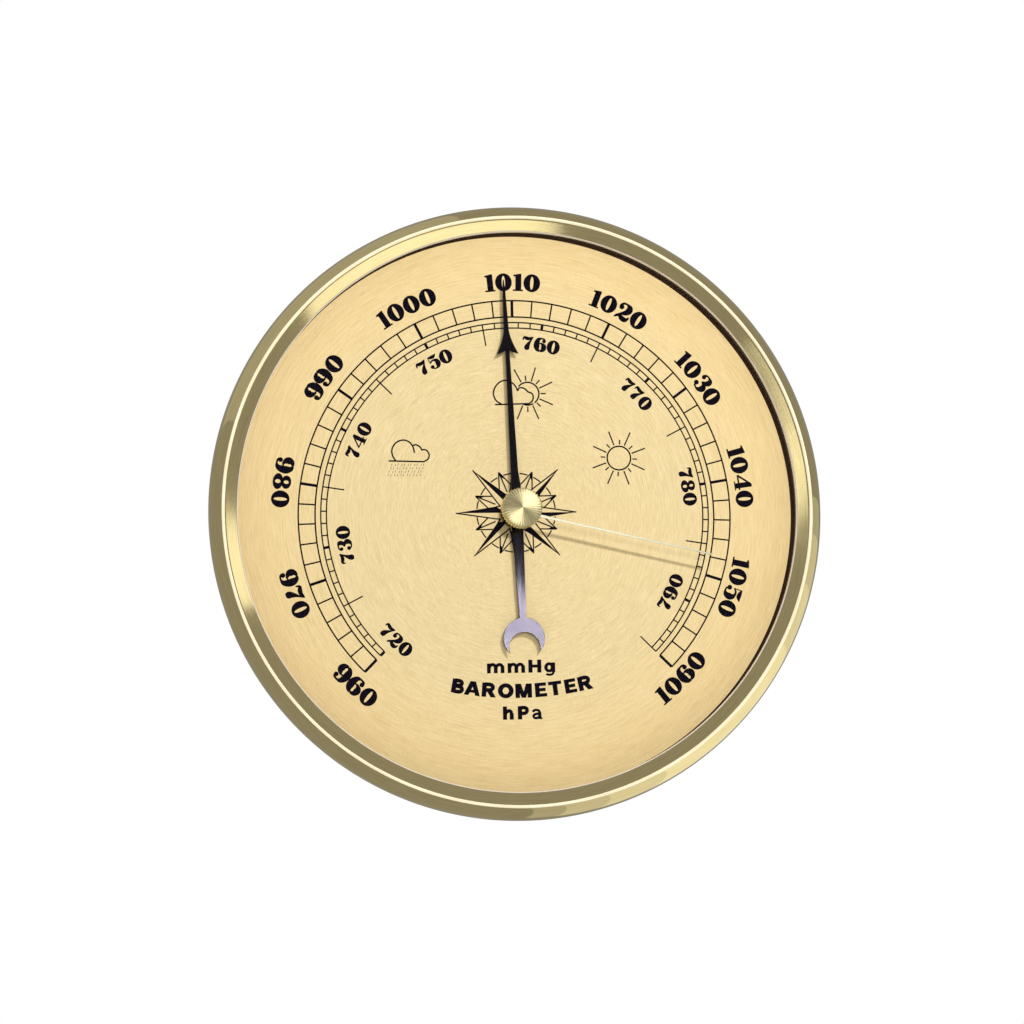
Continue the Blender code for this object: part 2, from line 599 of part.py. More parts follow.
# --- capsule, mainspring and adjuster ------------------------------------------------------------------
def aneroid_capsule():
    """The sealed, evacuated capsule: two corrugated faces, with a boss at the middle of each. A stud on
    its rear boss passes through the base plate into a nut."""
    edge = CAPSULE_RADIUS
    wave = 0.45 * MM
    boss = 3.0 * MM
    middle = (CAPSULE_BACK + CAPSULE_FRONT) / 2
    half = (CAPSULE_FRONT - CAPSULE_BACK) / 2 - 0.9 * MM
    crowns = 6
    radii = [edge - 1.2 * MM - (edge - 1.2 * MM - boss) * i / crowns for i in range(crowns + 1)]
    front = [(radius, middle + half + wave * (i % 2)) for i, radius in enumerate(radii)]
    rear = [(radius, 2 * middle - forward) for radius, forward in reversed(front)]
    stud_end, boss_back = 3.0 * MM, CAPSULE_BACK - GAP
    profile = [(0.0, stud_end), (CAPSULE_STUD_RADIUS, stud_end), (CAPSULE_STUD_RADIUS, boss_back)]
    profile += [(boss, boss_back)]
    profile += rear
    profile += [(edge, middle - 0.4 * MM), (edge, middle + 0.4 * MM)]
    profile += front
    profile += [(boss - 0.1 * MM, CAPSULE_FRONT), (0.0, CAPSULE_FRONT)]
    turned("aneroid_capsule", profile, "capsule_metal", CAPSULE_CENTRE, 36)
    nut = circle(CAPSULE_CENTRE, 3.2 * MM, 6)
    hole = circle(CAPSULE_CENTRE, CAPSULE_STUD_HOLE_RADIUS)
    plate("capsule_nut", nut, 2.0 * MM, BASE_BACK - GAP, "brass", [hole])


def capsule_post():
    """The post that the capsule's front boss moves, and the nut that the mainspring lifts it by."""
    base, tip = CAPSULE_FRONT + GAP, ROCKER_FORWARD - FINGER_HALF_WIDTH - GAP
    foot = [(0.0, base), (1.5 * MM, base), (1.5 * MM, base + 0.5 * MM), (POST_RADIUS, base + 0.5 * MM)]
    foot += [(POST_RADIUS, tip - 0.4 * MM), (POST_RADIUS - 0.4 * MM, tip), (0.0, tip)]
    turned("capsule_post", foot, "spring_steel", CAPSULE_CENTRE)
    nut = circle(CAPSULE_CENTRE, 2.4 * MM, 6)
    hole = circle(CAPSULE_CENTRE, POST_RADIUS + GAP)
    front = SPRING_FRONT + 1.7 * MM
    plate("post_nut", nut, SPRING_FRONT + GAP, front, "brass", [hole], at(CAPSULE_CENTRE, 0.0))


def mainspring():
    """The leaf that holds the capsule open against the air, screwed to a foot on the base plate. Its
    tail reaches past the foot to the tip of the adjusting screw."""
    middle_x, post_z = CAPSULE_CENTRE
    low, high = post_z - 4.0 * MM, ADJUSTER[1] + 3.5 * MM
    left, right = middle_x - SPRING_HALF_WIDTH, middle_x + SPRING_HALF_WIDTH
    outline = [(left, high), (right, high), (right, -6.0 * MM), (middle_x + 3.5 * MM, low)]
    outline += [(middle_x - 3.5 * MM, low), (left, -6.0 * MM)]
    holes = [circle(CAPSULE_CENTRE, POST_RADIUS + 0.5 * MM)]
    bores = [circle(place, SCREW_HOLE_RADIUS) for place in SPRING_SCREWS]
    holes += bores
    plate("mainspring", outline, SPRING_BACK, SPRING_FRONT, "spring_steel", holes)
    foot = [(left, 3.0 * MM), (right, 3.0 * MM), (right, -5.0 * MM), (left, -5.0 * MM)]
    plate("spring_foot", foot, BASE_FRONT + GAP, SPRING_BACK - GAP, "brass", bores)
    for number, place in enumerate(SPRING_SCREWS, 1):
        pan_screw(f"spring_screw_{number}", place, SPRING_FRONT + GAP, BASE_FRONT + 1.5 * MM)


def adjuster():
    """The screw that sets the pointer, turned from behind the case, and its threaded bush."""
    shank, head, tip = ADJUSTER_RADIUS, 2.5 * MM, SPRING_BACK - GAP
    head_back, head_front = 1.8 * MM, 3.1 * MM
    profile = [(0.0, head_back), (head, head_back), (head, head_front), (shank, head_front)]
    profile += [(shank, tip - 0.6 * MM), (0.8 * MM, tip), (0.0, tip)]
    screw = turned("adjusting_screw", profile, "brass", ADJUSTER)
    slot_screw(screw, ADJUSTER, head + 0.5 * MM, head_back - 0.5 * MM, head_back + 0.6 * MM)
    bore, back, front = shank + RUNNING_FIT, head_front + GAP, 8.5 * MM
    tube("adjuster_bush", bore, ADJUSTER_BUSH_RADIUS, back, front, "zinc_steel", ADJUSTER)


# --- rocker --------------------------------------------------------------------------------------------
def rocker():
    """The shaft that turns the post's small lift into the sector's swing: a short arm over the post, and
    a long finger that reaches back beside the sector's tail."""
    origin = (0.0, -ROCKER_FORWARD, ROCKER_Z)
    bm = bmesh.new()
    left, right = (Vector((x, origin[1], origin[2])) for x in (ROCKER_LEFT, ROCKER_RIGHT))
    bar_mesh(bm, left, right, PIVOT_RADIUS, SMALL_ROUND)
    add_object("rocker_shaft", bm, "spring_steel", origin)
    reach = ROCKER_ARM + 1.6 * MM
    lever("rocker_arm", CAPSULE_CENTRE[0], 1.5 * MM, (reach, 0.0), origin)
    back_reach = ROCKER_FORWARD - SECTOR_BACK + 0.5 * MM
    lever("rocker_finger", SECTOR_CENTRE[0] - TAIL_CONTACT, 0.8 * MM, (0.0, back_reach), origin)


def lever(name, x, half_thickness, reach, origin):
    """A hub on the rocker's shaft with one straight arm, drawn in the plane across the shaft. The reach is
    (up, backward): one of the two is the arm's length and the other is nought."""
    up, backward = reach
    half = FINGER_HALF_WIDTH
    spread = math.degrees(math.asin(half / ROCKER_HUB_RADIUS))
    toward = math.degrees(math.atan2(up, backward))
    length = up + backward
    outline = arc((0.0, 0.0), ROCKER_HUB_RADIUS, toward + spread, toward + 360.0 - spread, 20)
    cos_t, sin_t = math.cos(math.radians(toward)), math.sin(math.radians(toward))
    for side in (1, -1):
        outline += [(length * cos_t + side * half * sin_t, length * sin_t - side * half * cos_t)]
    hole = circle((0.0, 0.0), PIVOT_RADIUS + GAP)
    bm = bmesh.new()
    edges = []
    for loop in (outline, hole):
        ring = [bm.verts.new((x - half_thickness, origin[1] + y, origin[2] + z)) for y, z in loop]
        edges += [bm.edges.new(pair) for pair in zip(ring, ring[1:] + ring[:1])]
    filled = bmesh.ops.triangle_fill(bm, use_beauty=True, use_dissolve=False, edges=edges)
    faces = [item for item in filled["geom"] if isinstance(item, bmesh.types.BMFace)]
    raised = bmesh.ops.extrude_face_region(bm, geom=faces, use_keep_orig=True)
    points = [item for item in raised["geom"] if isinstance(item, bmesh.types.BMVert)]
    bmesh.ops.translate(bm, verts=points, vec=(2 * half_thickness, 0.0, 0.0))
    add_object(name, bm, "brass", origin)


def rocker_bracket():
    """A strip screwed behind the front plate, with an ear at each end that holds the rocker's shaft."""
    ear = 1.2 * MM
    web_front = PLATE_BACK - GAP
    web_back = web_front - 0.8 * MM
    left, right = ROCKER_LEFT + 0.8 * MM, ROCKER_RIGHT - 0.8 * MM
    bm = bmesh.new()
    half = 2.0 * MM
    ear_end = ROCKER_FORWARD - 1.6 * MM
    corners = [(left, web_front), (right, web_front), (right, ear_end), (right - ear, ear_end)]
    corners += [(right - ear, web_back), (left + ear, web_back), (left + ear, ear_end), (left, ear_end)]
    low, high = ROCKER_Z - 5.0 * MM, ROCKER_Z + half
    face = bm.faces.new([bm.verts.new((x, -forward, low)) for x, forward in corners])
    raised = bmesh.ops.extrude_face_region(bm, geom=[face], use_keep_orig=True)
    points = [item for item in raised["geom"] if isinstance(item, bmesh.types.BMVert)]
    bmesh.ops.translate(bm, verts=points, vec=(0.0, 0.0, high - low))
    bracket = add_object("rocker_bracket", bm, "zinc_steel", (0.0, 0.0, 0.0))

    def holes(cutter):
        start = Vector((ROCKER_LEFT - 3.0 * MM, -ROCKER_FORWARD, ROCKER_Z))
        end = Vector((ROCKER_RIGHT + 3.0 * MM, -ROCKER_FORWARD, ROCKER_Z))
        bar_mesh(cutter, start, end, PIVOT_RADIUS + RUNNING_FIT, SMALL_ROUND)
        for place in BRACKET_SCREWS:
            back, front = at(place, web_back - MM), at(place, web_front + MM)
            bar_mesh(cutter, back, front, SCREW_HOLE_RADIUS, SMALL_ROUND)

    cut(bracket, "bracket_holes", holes)
    for number, place in enumerate(BRACKET_SCREWS, 1):
        pan_screw(f"bracket_screw_{number}", place, PLATE_FRONT + GAP, web_back - 0.4 * MM)


# --- gears, arbors and hairspring ----------------------------------------------------------------------
def involute(angle):
    return math.tan(angle) - angle


def tooth(centre, teeth, middle):
    """The places along one gear tooth, clockwise over its top. The angle of its middle is in radians."""
    pitch = MODULE * teeth / 2
    base = pitch * math.cos(PRESSURE_ANGLE)
    tip, root = pitch + ADDENDUM, pitch - DEDENDUM
    half_at_pitch = math.pi / (2 * teeth) - BACKLASH / (2 * pitch)
    start = max(base, root)
    flank = []
    for i in range(4):
        radius = start + (tip - start) * i / 3
        pressure = math.acos(min(1.0, base / radius))
        half = half_at_pitch + involute(PRESSURE_ANGLE) - involute(pressure)
        flank.append((radius, half))
    if root < base:
        flank.insert(0, (root, flank[0][1]))
    rising = [polar(centre, radius, middle + half) for radius, half in flank]
    falling = [polar(centre, radius, middle - half) for radius, half in reversed(flank)]
    return rising + falling


def pinion():
    """The pinion on the pointer's arbor. One tooth points at the sector, in one of its gaps."""
    outline = []
    for i in range(PINION_TEETH):
        outline += tooth((0.0, 0.0), PINION_TEETH, -math.pi / 2 - math.tau * i / PINION_TEETH)
    hole = circle((0.0, 0.0), ARBOR_RADIUS + 0.2 * MM)
    plate("pinion", outline, SECTOR_BACK - 0.7 * MM, SECTOR_FRONT + 0.7 * MM, "spring_steel", [hole])


def sector_gear():
    """The toothed sector: its teeth face up to the pinion, and its tail reaches left to the finger."""
    pitch_angle = 360.0 / SECTOR_WHEEL_TEETH
    first = 90.0 + pitch_angle * (SECTOR_TEETH - 1) / 2
    outline = []
    for i in range(SECTOR_TEETH):
        outline += tooth(SECTOR_CENTRE, SECTOR_WHEEL_TEETH, math.radians(first - pitch_angle * i))
    hub, web = 3.2 * MM, 2.2 * MM
    tail = math.degrees(math.asin(TAIL_HALF_WIDTH / hub))
    rim = MODULE * SECTOR_WHEEL_TEETH / 2 - DEDENDUM
    half_arc = pitch_angle * SECTOR_TEETH / 2 + 0.6
    outline += [polar(SECTOR_CENTRE, rim, math.radians(90.0 - half_arc))]
    outline += [polar(SECTOR_CENTRE, rim - web, math.radians(90.0 - half_arc))]
    outline += arc(SECTOR_CENTRE, hub, 15.0, -180.0 + tail, 14)
    for side in (-1, 1):
        outline += [(SECTOR_CENTRE[0] - TAIL_LENGTH, SECTOR_CENTRE[1] + side * TAIL_HALF_WIDTH)]
    outline += arc(SECTOR_CENTRE, hub, 180.0 - tail, 150.0, 3)
    outline += [polar(SECTOR_CENTRE, rim - web, math.radians(90.0 + half_arc))]
    outline += [polar(SECTOR_CENTRE, rim, math.radians(90.0 + half_arc))]
    arbor_hole = circle(SECTOR_CENTRE, ARBOR_RADIUS + GAP)
    window = arc(SECTOR_CENTRE, rim - 3.0 * MM, 90.0 + 13.0, 90.0 - 13.0, 8)
    window += [polar(SECTOR_CENTRE, 8.0 * MM, math.radians(90.0 + side * 8.0)) for side in (-1, 1)]
    holes = [arbor_hole, window]
    origin = at(SECTOR_CENTRE, 0.0)
    plate("sector_gear", outline, SECTOR_BACK, SECTOR_FRONT, "brass", holes, origin)


def arbors():
    """The sector's arbor between the plates, and the centre arbor, which runs on through the dial."""
    kinds = [("sector_arbor", SECTOR_CENTRE, SECTOR_ARBOR_FRONT)]
    kinds += [("centre_arbor", (0.0, 0.0), CENTRE_ARBOR_FRONT)]
    for name, place, front in kinds:
        profile = [(0.0, ARBOR_BACK), (PIVOT_RADIUS, ARBOR_BACK), (PIVOT_RADIUS, ARBOR_REAR_SHOULDER)]
        profile += [(ARBOR_RADIUS, ARBOR_REAR_SHOULDER), (ARBOR_RADIUS, ARBOR_FRONT_SHOULDER)]
        profile += [(PIVOT_RADIUS, ARBOR_FRONT_SHOULDER), (PIVOT_RADIUS, front), (0.0, front)]
        turned(name, profile, "spring_steel", place)


def hairspring():
    """A flat spiral from the collet on the centre arbor out to a stud under the front plate."""
    back, front = 15.8 * MM, 16.5 * MM
    collet = 2.4 * MM
    tube("hairspring_collet", ARBOR_RADIUS + GAP, collet, 15.3 * MM, 17.0 * MM, "brass")
    turns, steps = 4.5, 90
    inner, outer = collet + GAP + 0.1 * MM, 8.6 * MM
    half = 0.1 * MM
    bm = bmesh.new()
    sections = []
    for i in range(steps + 1):
        share = i / steps
        radius = inner + (outer - inner) * share
        angle = math.tau * turns * share
        low, high = radius - half, radius + half
        corners = [(low, back), (high, back), (high, front), (low, front)]
        sections.append([bm.verts.new(at(polar((0.0, 0.0), r, angle), f)) for r, f in corners])
    for near, far in zip(sections, sections[1:]):
        for i in range(4):
            j = (i + 1) % 4
            bm.faces.new((near[i], near[j], far[j], far[i]))
    bm.faces.new(sections[0])
    bm.faces.new(sections[-1])
    add_object("hairspring", bm, "spring_steel", (0.0, 0.0, 0.0))
    end = math.tau * turns + (GAP + 0.9 * MM) / outer
    stud = polar((0.0, 0.0), outer, end)
    turned("hairspring_stud", round_rod(0.8 * MM, 15.3 * MM, PLATE_BACK - GAP), "brass", stud)


def round_rod(radius, back, front):
    """The profile of a plain rod."""
    return [(0.0, back), (radius, back), (radius, front), (0.0, front)]


def build():
    clear_scene()
    rear_case()
    bezel()
    front_stack()
    pointer()
    set_hand()
    set_knob()
    base_plate()
    case_screws()
    pillars()
    front_plate()
    bushes()
    aneroid_capsule()
    capsule_post()
    mainspring()
    adjuster()
    rocker()
    rocker_bracket()
    pinion()
    sector_gear()
    arbors()
    hairspring()


build()
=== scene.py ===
"""Looks of an aneroid barometer: fine meshes, print, finishes, camera and light round the CAD part."""
import json
from math import acos, asin, atan2, cos, degrees, hypot, pi, radians, sin, tau

import bmesh
import bpy
from mathutils import Matrix, Vector


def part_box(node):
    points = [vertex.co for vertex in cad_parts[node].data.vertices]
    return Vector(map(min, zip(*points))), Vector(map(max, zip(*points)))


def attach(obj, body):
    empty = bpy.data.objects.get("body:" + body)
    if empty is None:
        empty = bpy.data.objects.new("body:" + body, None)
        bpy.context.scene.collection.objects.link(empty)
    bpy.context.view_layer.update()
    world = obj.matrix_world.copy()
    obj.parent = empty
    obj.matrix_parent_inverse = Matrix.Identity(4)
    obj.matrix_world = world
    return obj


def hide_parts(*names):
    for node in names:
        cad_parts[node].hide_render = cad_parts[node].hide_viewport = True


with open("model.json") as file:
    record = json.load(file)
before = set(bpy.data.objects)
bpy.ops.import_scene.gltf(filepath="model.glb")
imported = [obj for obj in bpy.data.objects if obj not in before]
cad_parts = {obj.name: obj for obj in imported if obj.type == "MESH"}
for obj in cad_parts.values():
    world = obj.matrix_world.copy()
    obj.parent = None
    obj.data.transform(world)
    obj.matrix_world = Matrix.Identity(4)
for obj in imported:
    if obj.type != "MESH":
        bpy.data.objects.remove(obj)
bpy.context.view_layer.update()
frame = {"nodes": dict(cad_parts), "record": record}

MM = 0.001
DIAL_FRONT = -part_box("dial")[0].y / MM  # how far forward the dial's face is
ROUND = 256  # steps of the large turned pieces
AHEAD = Vector((0.0, -1.0, 0.0))  # out of the dial
UP = Vector((0.0, 0.0, 1.0))

# Camera
VIEW_AZIMUTH = radians(-6.8)
VIEW_ELEVATION = radians(-5.3)
VIEW_ROLL = radians(1.18)
VIEW_DISTANCE = 0.556
VIEW_AIM = Vector((-0.0009, -0.0258, 0.00015))
LENS = 90.6

# Lights
FAR = 6.0  # metres to the lights that flat faces mirror to the camera
BEZEL_FACE = (61.2, 34.2)  # radius and distance forward of the bezel's sloping face, mm
BEZEL_SLOPE = radians(8.2)
TAIL_GLINT = Vector((0.0, -0.0272, -0.0264))
SET_GLINT_RADIUS = 12.0
SET_HAND_FACE = 29.8  # how far forward the set hand's face is

READING = 1009.2  # hPa, where the pointer rests
SET_READING = 1048.2  # hPa, where the set hand rests

# Print on the dial: one unit of the artwork is a little more than a millimetre
ART = 1.012 * MM
INK_BACK = DIAL_FRONT * MM - 0.02 * MM
INK_FRONT = DIAL_FRONT * MM + 0.03 * MM
SWEEP = 270.0
HPA_LOW = 960
HPA_HIGH = 1060
MMHG_LOW = 720
MMHG_HIGH = 795
HPA_OUTER = 46.35
HPA_INNER = 42.8
MMHG_OUTER = 41.6
MMHG_INNER = 40.4
LONG_TICK_END = 37.0
THIN = 0.16  # half widths of the printed lines
FINE = 0.14
THICK = 0.30
WEIGHT = 1.18  # how much bolder the digits' strokes are than drawn

# How far the parts of the print sit off the pointer's axis, to the right and up
SCALE_OFFSET = (0.0, -0.6)
HPA_NUMBER_OFFSET = (-0.25, -0.2)
MMHG_NUMBER_OFFSET = (0.0, -0.5)
DRAWING_OFFSET = (-0.12, -0.42)


# -------- mesh helpers


def add_object(name, data):
    thing = bpy.data.objects.new(name, data)
    bpy.context.scene.collection.objects.link(thing)
    return thing


def make(name, shape, looks, body, nodes=(), crease=30.0):
    """Turns a bmesh into a smooth-shaded piece that rides on a body. Its flat faces keep flat reflections."""
    bmesh.ops.recalc_face_normals(shape, faces=shape.faces)
    mesh = bpy.data.meshes.new(name)
    shape.to_mesh(mesh)
    shape.free()
    for look in looks:
        mesh.materials.append(look)
    mesh.shade_smooth()
    mesh.set_sharp_from_angle(angle=radians(crease))
    piece = add_object(name, mesh)
    flat = piece.modifiers.new("flat_faces", "WEIGHTED_NORMAL")
    flat.keep_sharp = True
    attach(piece, body)
    if nodes:
        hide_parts(*nodes)
    return piece


def bridge(shape, inner, outer, material=0):
    """Faces between two rings of vertices; a ring of one vertex is a pole."""
    if len(inner) == 1 and len(outer) == 1:
        return
    steps = max(len(inner), len(outer))
    for step in range(steps):
        after = (step + 1) % steps
        corners = [inner[step % len(inner)], inner[after % len(inner)]]
        corners += [outer[after % len(outer)], outer[step % len(outer)]]
        unique = list(dict.fromkeys(corners))
        shape.faces.new(unique).material_index = material


def turned(outline, steps=ROUND, centre=(0.0, 0.0), pick=None):
    """Turns an outline of (radius, forward) in mm round an axis that points forward.
    pick, if given, numbers the material of each stretch from its two ends."""
    shape = bmesh.new()
    rings = []
    for radius, forward in outline:
        count = 1 if radius == 0 else steps
        ring = []
        for step in range(count):
            turn = tau * step / steps
            x = centre[0] + radius * sin(turn)
            z = centre[1] + radius * cos(turn)
            ring.append(shape.verts.new((x * MM, -forward * MM, z * MM)))
        rings.append(ring)
    for index, ring in enumerate(rings):
        after = (index + 1) % len(rings)
        material = pick(outline[index], outline[after]) if pick else 0
        bridge(shape, ring, rings[after], material)
    return shape


def arc(centre, radii, start, end, steps):
    """Points of an ellipse's arc; angles in degrees, from the first axis towards the second."""
    points = []
    for step in range(steps + 1):
        angle = radians(start + (end - start) * step / steps)
        points.append((centre[0] + radii[0] * cos(angle), centre[1] + radii[1] * sin(angle)))
    return points


def on_dial(radius, clock):
    """The point (x, z) at a radius and a clock angle in radians: 0 is the top, clockwise is positive."""
    return (radius * sin(clock), radius * cos(clock))


def flat_plate(outline, back, front, bevel, holes=()):
    """A plate from an outline and holes of (x, z), in mm, between two distances forward.
    Its front edges are bevelled."""
    shape = bmesh.new()
    edges = []
    for loop in (outline, *holes):
        corners = [shape.verts.new((x * MM, -front * MM, z * MM)) for x, z in loop]
        edges += [shape.edges.new((corners[step - 1], corners[step])) for step in range(len(corners))]
    bmesh.ops.triangle_fill(shape, use_beauty=True, use_dissolve=True, edges=edges)
    faces = list(shape.faces)
    raised = bmesh.ops.extrude_face_region(shape, geom=faces, use_keep_orig=True)
    moved = [item for item in raised["geom"] if isinstance(item, bmesh.types.BMVert)]
    bmesh.ops.translate(shape, verts=moved, vec=(0.0, (front - back) * MM, 0.0))
    rim = [edge for edge in edges if edge.is_valid]
    bmesh.ops.bevel(shape, geom=rim, offset=bevel * MM, segments=2, affect="EDGES", profile=0.5)
    return shape


# -------- print on the dial


def smooth_path(points, steps=6):
    """A smooth path through points of any number of coordinates."""
    path = []
    last = len(points) - 1
    for index in range(last):
        before = points[max(index - 1, 0)]
        start, end = points[index], points[index + 1]
        after = points[min(index + 2, last)]
        for step in range(steps):
            t = step / steps
            place = []
            for p0, p1, p2, p3 in zip(before, start, end, after):
                bend = 2 * p0 - 5 * p1 + 4 * p2 - p3
                twist = 3 * p1 - p0 - 3 * p2 + p3
                place.append(0.5 * (2 * p1 + (p2 - p0) * t + bend * t * t + twist * t ** 3))
            path.append(tuple(place))
    path.append(points[last])
    return path


class Ink:
    """Print: closed, very thin prisms that stand on the dial's face, in the artwork's units."""

    def __init__(self):
        self.shape = bmesh.new()
        self.place = lambda x, y: (x, y)
        self.offset = (0.0, 0.0)

    def corner(self, point):
        x, z = self.place(point[0], point[1])
        x += self.offset[0]
        z += self.offset[1]
        back = self.shape.verts.new((x * ART, -INK_BACK, z * ART))
        front = self.shape.verts.new((x * ART, -INK_FRONT, z * ART))
        return back, front

    def strip(self, left, right, closed=False):
        """Ink between two edges of as many points."""
        left = [self.corner(point) for point in left]
        right = [self.corner(point) for point in right]
        last = len(left) if closed else len(left) - 1
        face = self.shape.faces.new
        for index in range(last):
            after = (index + 1) % len(left)
            (lb, lf), (mb, mf) = left[index], left[after]
            (rb, rf), (sb, sf) = right[index], right[after]
            face((lf, mf, sf, rf))
            face((lb, rb, sb, mb))
            face((lb, mb, mf, lf))
            face((rb, rf, sf, sb))
        if not closed:
            face((left[0][0], left[0][1], right[0][1], right[0][0]))
            face((left[-1][0], right[-1][0], right[-1][1], left[-1][1]))

    def patch(self, outline):
        """A filled outline."""
        corners = [self.corner(point) for point in outline]
        self.shape.faces.new([front for back, front in corners])
        self.shape.faces.new([back for back, front in reversed(corners)])
        for index, (back, front) in enumerate(corners):
            after_back, after_front = corners[(index + 1) % len(corners)]
            self.shape.faces.new((back, after_back, after_front, front))

    def stroke(self, points, halves, closed=False):
        """A line along points with a half width at each."""
        count = len(points)
        left, right = [], []
        for index in range(count):
            before = points[index - 1] if closed else points[max(index - 1, 0)]
            after = points[(index + 1) % count] if closed else points[min(index + 1, count - 1)]
            dx, dy = after[0] - before[0], after[1] - before[1]
            scale = halves[index] / hypot(dx, dy)
            x, y = points[index][0], points[index][1]
            left.append((x - dy * scale, y + dx * scale))
            right.append((x + dy * scale, y - dx * scale))
        self.strip(left, right, closed)

    def line(self, points, half=THIN, closed=False):
        self.stroke(points, [half] * len(points), closed)

    def brush(self, *points):
        """A swelling stroke through points (x, y, half width)."""
        path = smooth_path(points)
        self.stroke(path, [max(half, 0.004) * WEIGHT for x, y, half in path])

    def dot(self, x, y, radius):
        self.patch(arc((x, y), (radius, radius), 0, 345, 23))

    def ring(self, centre, outer, inner):
        """An upright oval with an oval hole."""
        self.strip(arc(centre, outer, 0, 350, 35), arc(centre, inner, 0, 350, 35), closed=True)


def draw_0(ink):
    ink.ring((0.46, 0.5), (0.475, 0.515), (0.095, 0.37))


def draw_1(ink):
    ink.patch([(0, 0), (0.58, 0), (0.58, 0.09), (0, 0.09)])
    ink.patch([(0.14, 0.05), (0.48, 0.05), (0.48, 1), (0.40, 1), (0.03, 0.93), (0.03, 0.84), (0.14, 0.83)])


def draw_2(ink):
    ink.brush((0.08, 0.72, 0.05), (0.20, 0.92, 0.06), (0.42, 0.965, 0.05), (0.62, 0.85, 0.14),
              (0.66, 0.68, 0.165), (0.55, 0.50, 0.13), (0.33, 0.33, 0.07), (0.10, 0.12, 0.05),
              (0.03, 0, 0.02))
    ink.dot(0.19, 0.70, 0.145)
    ink.brush((0.05, 0.05, 0.05), (0.25, 0.20, 0.07), (0.45, 0.12, 0.12), (0.65, 0.10, 0.12),
              (0.78, 0.2, 0.07), (0.82, 0.34, 0.03))


def draw_3(ink):
    ink.brush((0.12, 0.78, 0.06), (0.22, 0.93, 0.05), (0.42, 0.97, 0.045), (0.60, 0.88, 0.12),
              (0.62, 0.73, 0.14), (0.52, 0.58, 0.10), (0.34, 0.52, 0.05))
    ink.dot(0.19, 0.76, 0.125)
    ink.brush((0.34, 0.53, 0.05), (0.55, 0.47, 0.10), (0.66, 0.29, 0.16), (0.56, 0.10, 0.11),
              (0.38, 0.03, 0.045), (0.18, 0.09, 0.05))
    ink.dot(0.17, 0.23, 0.14)


def draw_4(ink):
    ink.patch([(0.46, 0.04), (0.76, 0.04), (0.76, 1), (0.58, 1), (0.46, 0.85)])
    ink.strip([(0.58, 1), (0, 0.31)], [(0.46, 0.71), (0.14, 0.31)])
    ink.patch([(0, 0.22), (0.86, 0.22), (0.86, 0.31), (0, 0.31)])
    ink.patch([(0.34, 0), (0.86, 0), (0.86, 0.06), (0.34, 0.06)])


def draw_5(ink):
    ink.brush((0.14, 0.95, 0.03), (0.30, 0.90, 0.09), (0.52, 0.88, 0.11), (0.70, 0.95, 0.05),
              (0.76, 1, 0.02))
    ink.patch([(0.11, 0.48), (0.17, 0.48), (0.17, 0.97), (0.11, 0.97)])
    ink.brush((0.14, 0.50, 0.03), (0.28, 0.62, 0.05), (0.46, 0.63, 0.06), (0.62, 0.52, 0.13),
              (0.66, 0.32, 0.16), (0.58, 0.12, 0.12), (0.40, 0.03, 0.045), (0.20, 0.08, 0.05))
    ink.dot(0.17, 0.22, 0.14)


def draw_6(ink):
    ink.brush((0.66, 0.955, 0.03), (0.46, 0.965, 0.05), (0.27, 0.86, 0.12), (0.18, 0.60, 0.17),
              (0.19, 0.35, 0.18), (0.28, 0.13, 0.12), (0.45, 0.03, 0.05))
    ink.brush((0.36, 0.57, 0.03), (0.50, 0.60, 0.06), (0.67, 0.47, 0.14), (0.71, 0.31, 0.17),
              (0.64, 0.13, 0.12), (0.45, 0.03, 0.05))
    ink.brush((0.46, 0.965, 0.045), (0.64, 0.95, 0.05), (0.74, 0.86, 0.06))
    ink.dot(0.68, 0.79, 0.135)


def draw_7(ink):
    ink.brush((0.05, 0.70, 0.025), (0.07, 0.82, 0.05), (0.14, 0.93, 0.07), (0.30, 0.87, 0.11),
              (0.50, 0.85, 0.10), (0.68, 0.93, 0.06), (0.79, 0.98, 0.02))
    ink.brush((0.78, 0.97, 0.025), (0.62, 0.72, 0.05), (0.48, 0.50, 0.10), (0.38, 0.28, 0.155),
              (0.36, 0.15, 0.16), (0.36, 0.02, 0.10))


def draw_8(ink):
    ink.ring((0.43, 0.74), (0.375, 0.275), (0.095, 0.14))
    ink.ring((0.43, 0.27), (0.45, 0.285), (0.11, 0.15))


def draw_9(ink):
    placed = ink.place
    ink.place = lambda x, y: placed(DIGITS["9"][0] - x, 1 - y)
    draw_6(ink)
    ink.place = placed


# Each digit's width for its height, and how it is drawn
DIGITS = {"0": (0.92, draw_0), "1": (0.54, draw_1), "2": (0.84, draw_2), "3": (0.80, draw_3),
          "4": (0.86, draw_4), "5": (0.82, draw_5), "6": (0.86, draw_6), "7": (0.80, draw_7),
          "8": (0.86, draw_8), "9": (0.86, draw_9)}


def draw_number(ink, number, radius, height, clock, inward):
    """Prints a number along the scale, its digits' tops outward, or inward where that reads upright."""
    side = -1 if inward else 1
    gap = 0.08 * height
    digits = [DIGITS[digit] for digit in str(number)]
    widths = [share * height for share, draw in digits]
    reach = -(sum(widths) + gap * (len(digits) - 1)) / 2
    for (share, draw), width in zip(digits, widths):
        turn = clock + side * (reach + width / 2) / radius
        up = Vector((sin(turn), cos(turn))) * side
        along = Vector((cos(turn), -sin(turn))) * side
        corner = Vector(on_dial(radius, turn)) - along * width / 2 - up * height / 2
        ink.place = lambda x, y: tuple(corner + along * (x * height) + up * (y * height))
        draw(ink)
        reach += width + gap
    ink.place = lambda x, y: (x, y)


def scale_clock(value, low, high):
    """The clock angle of a value on a scale that runs from low to high."""
    return radians(SWEEP * ((value - low) / (high - low) - 0.5))


def hpa_clock(value):
    return scale_clock(value, HPA_LOW, HPA_HIGH)


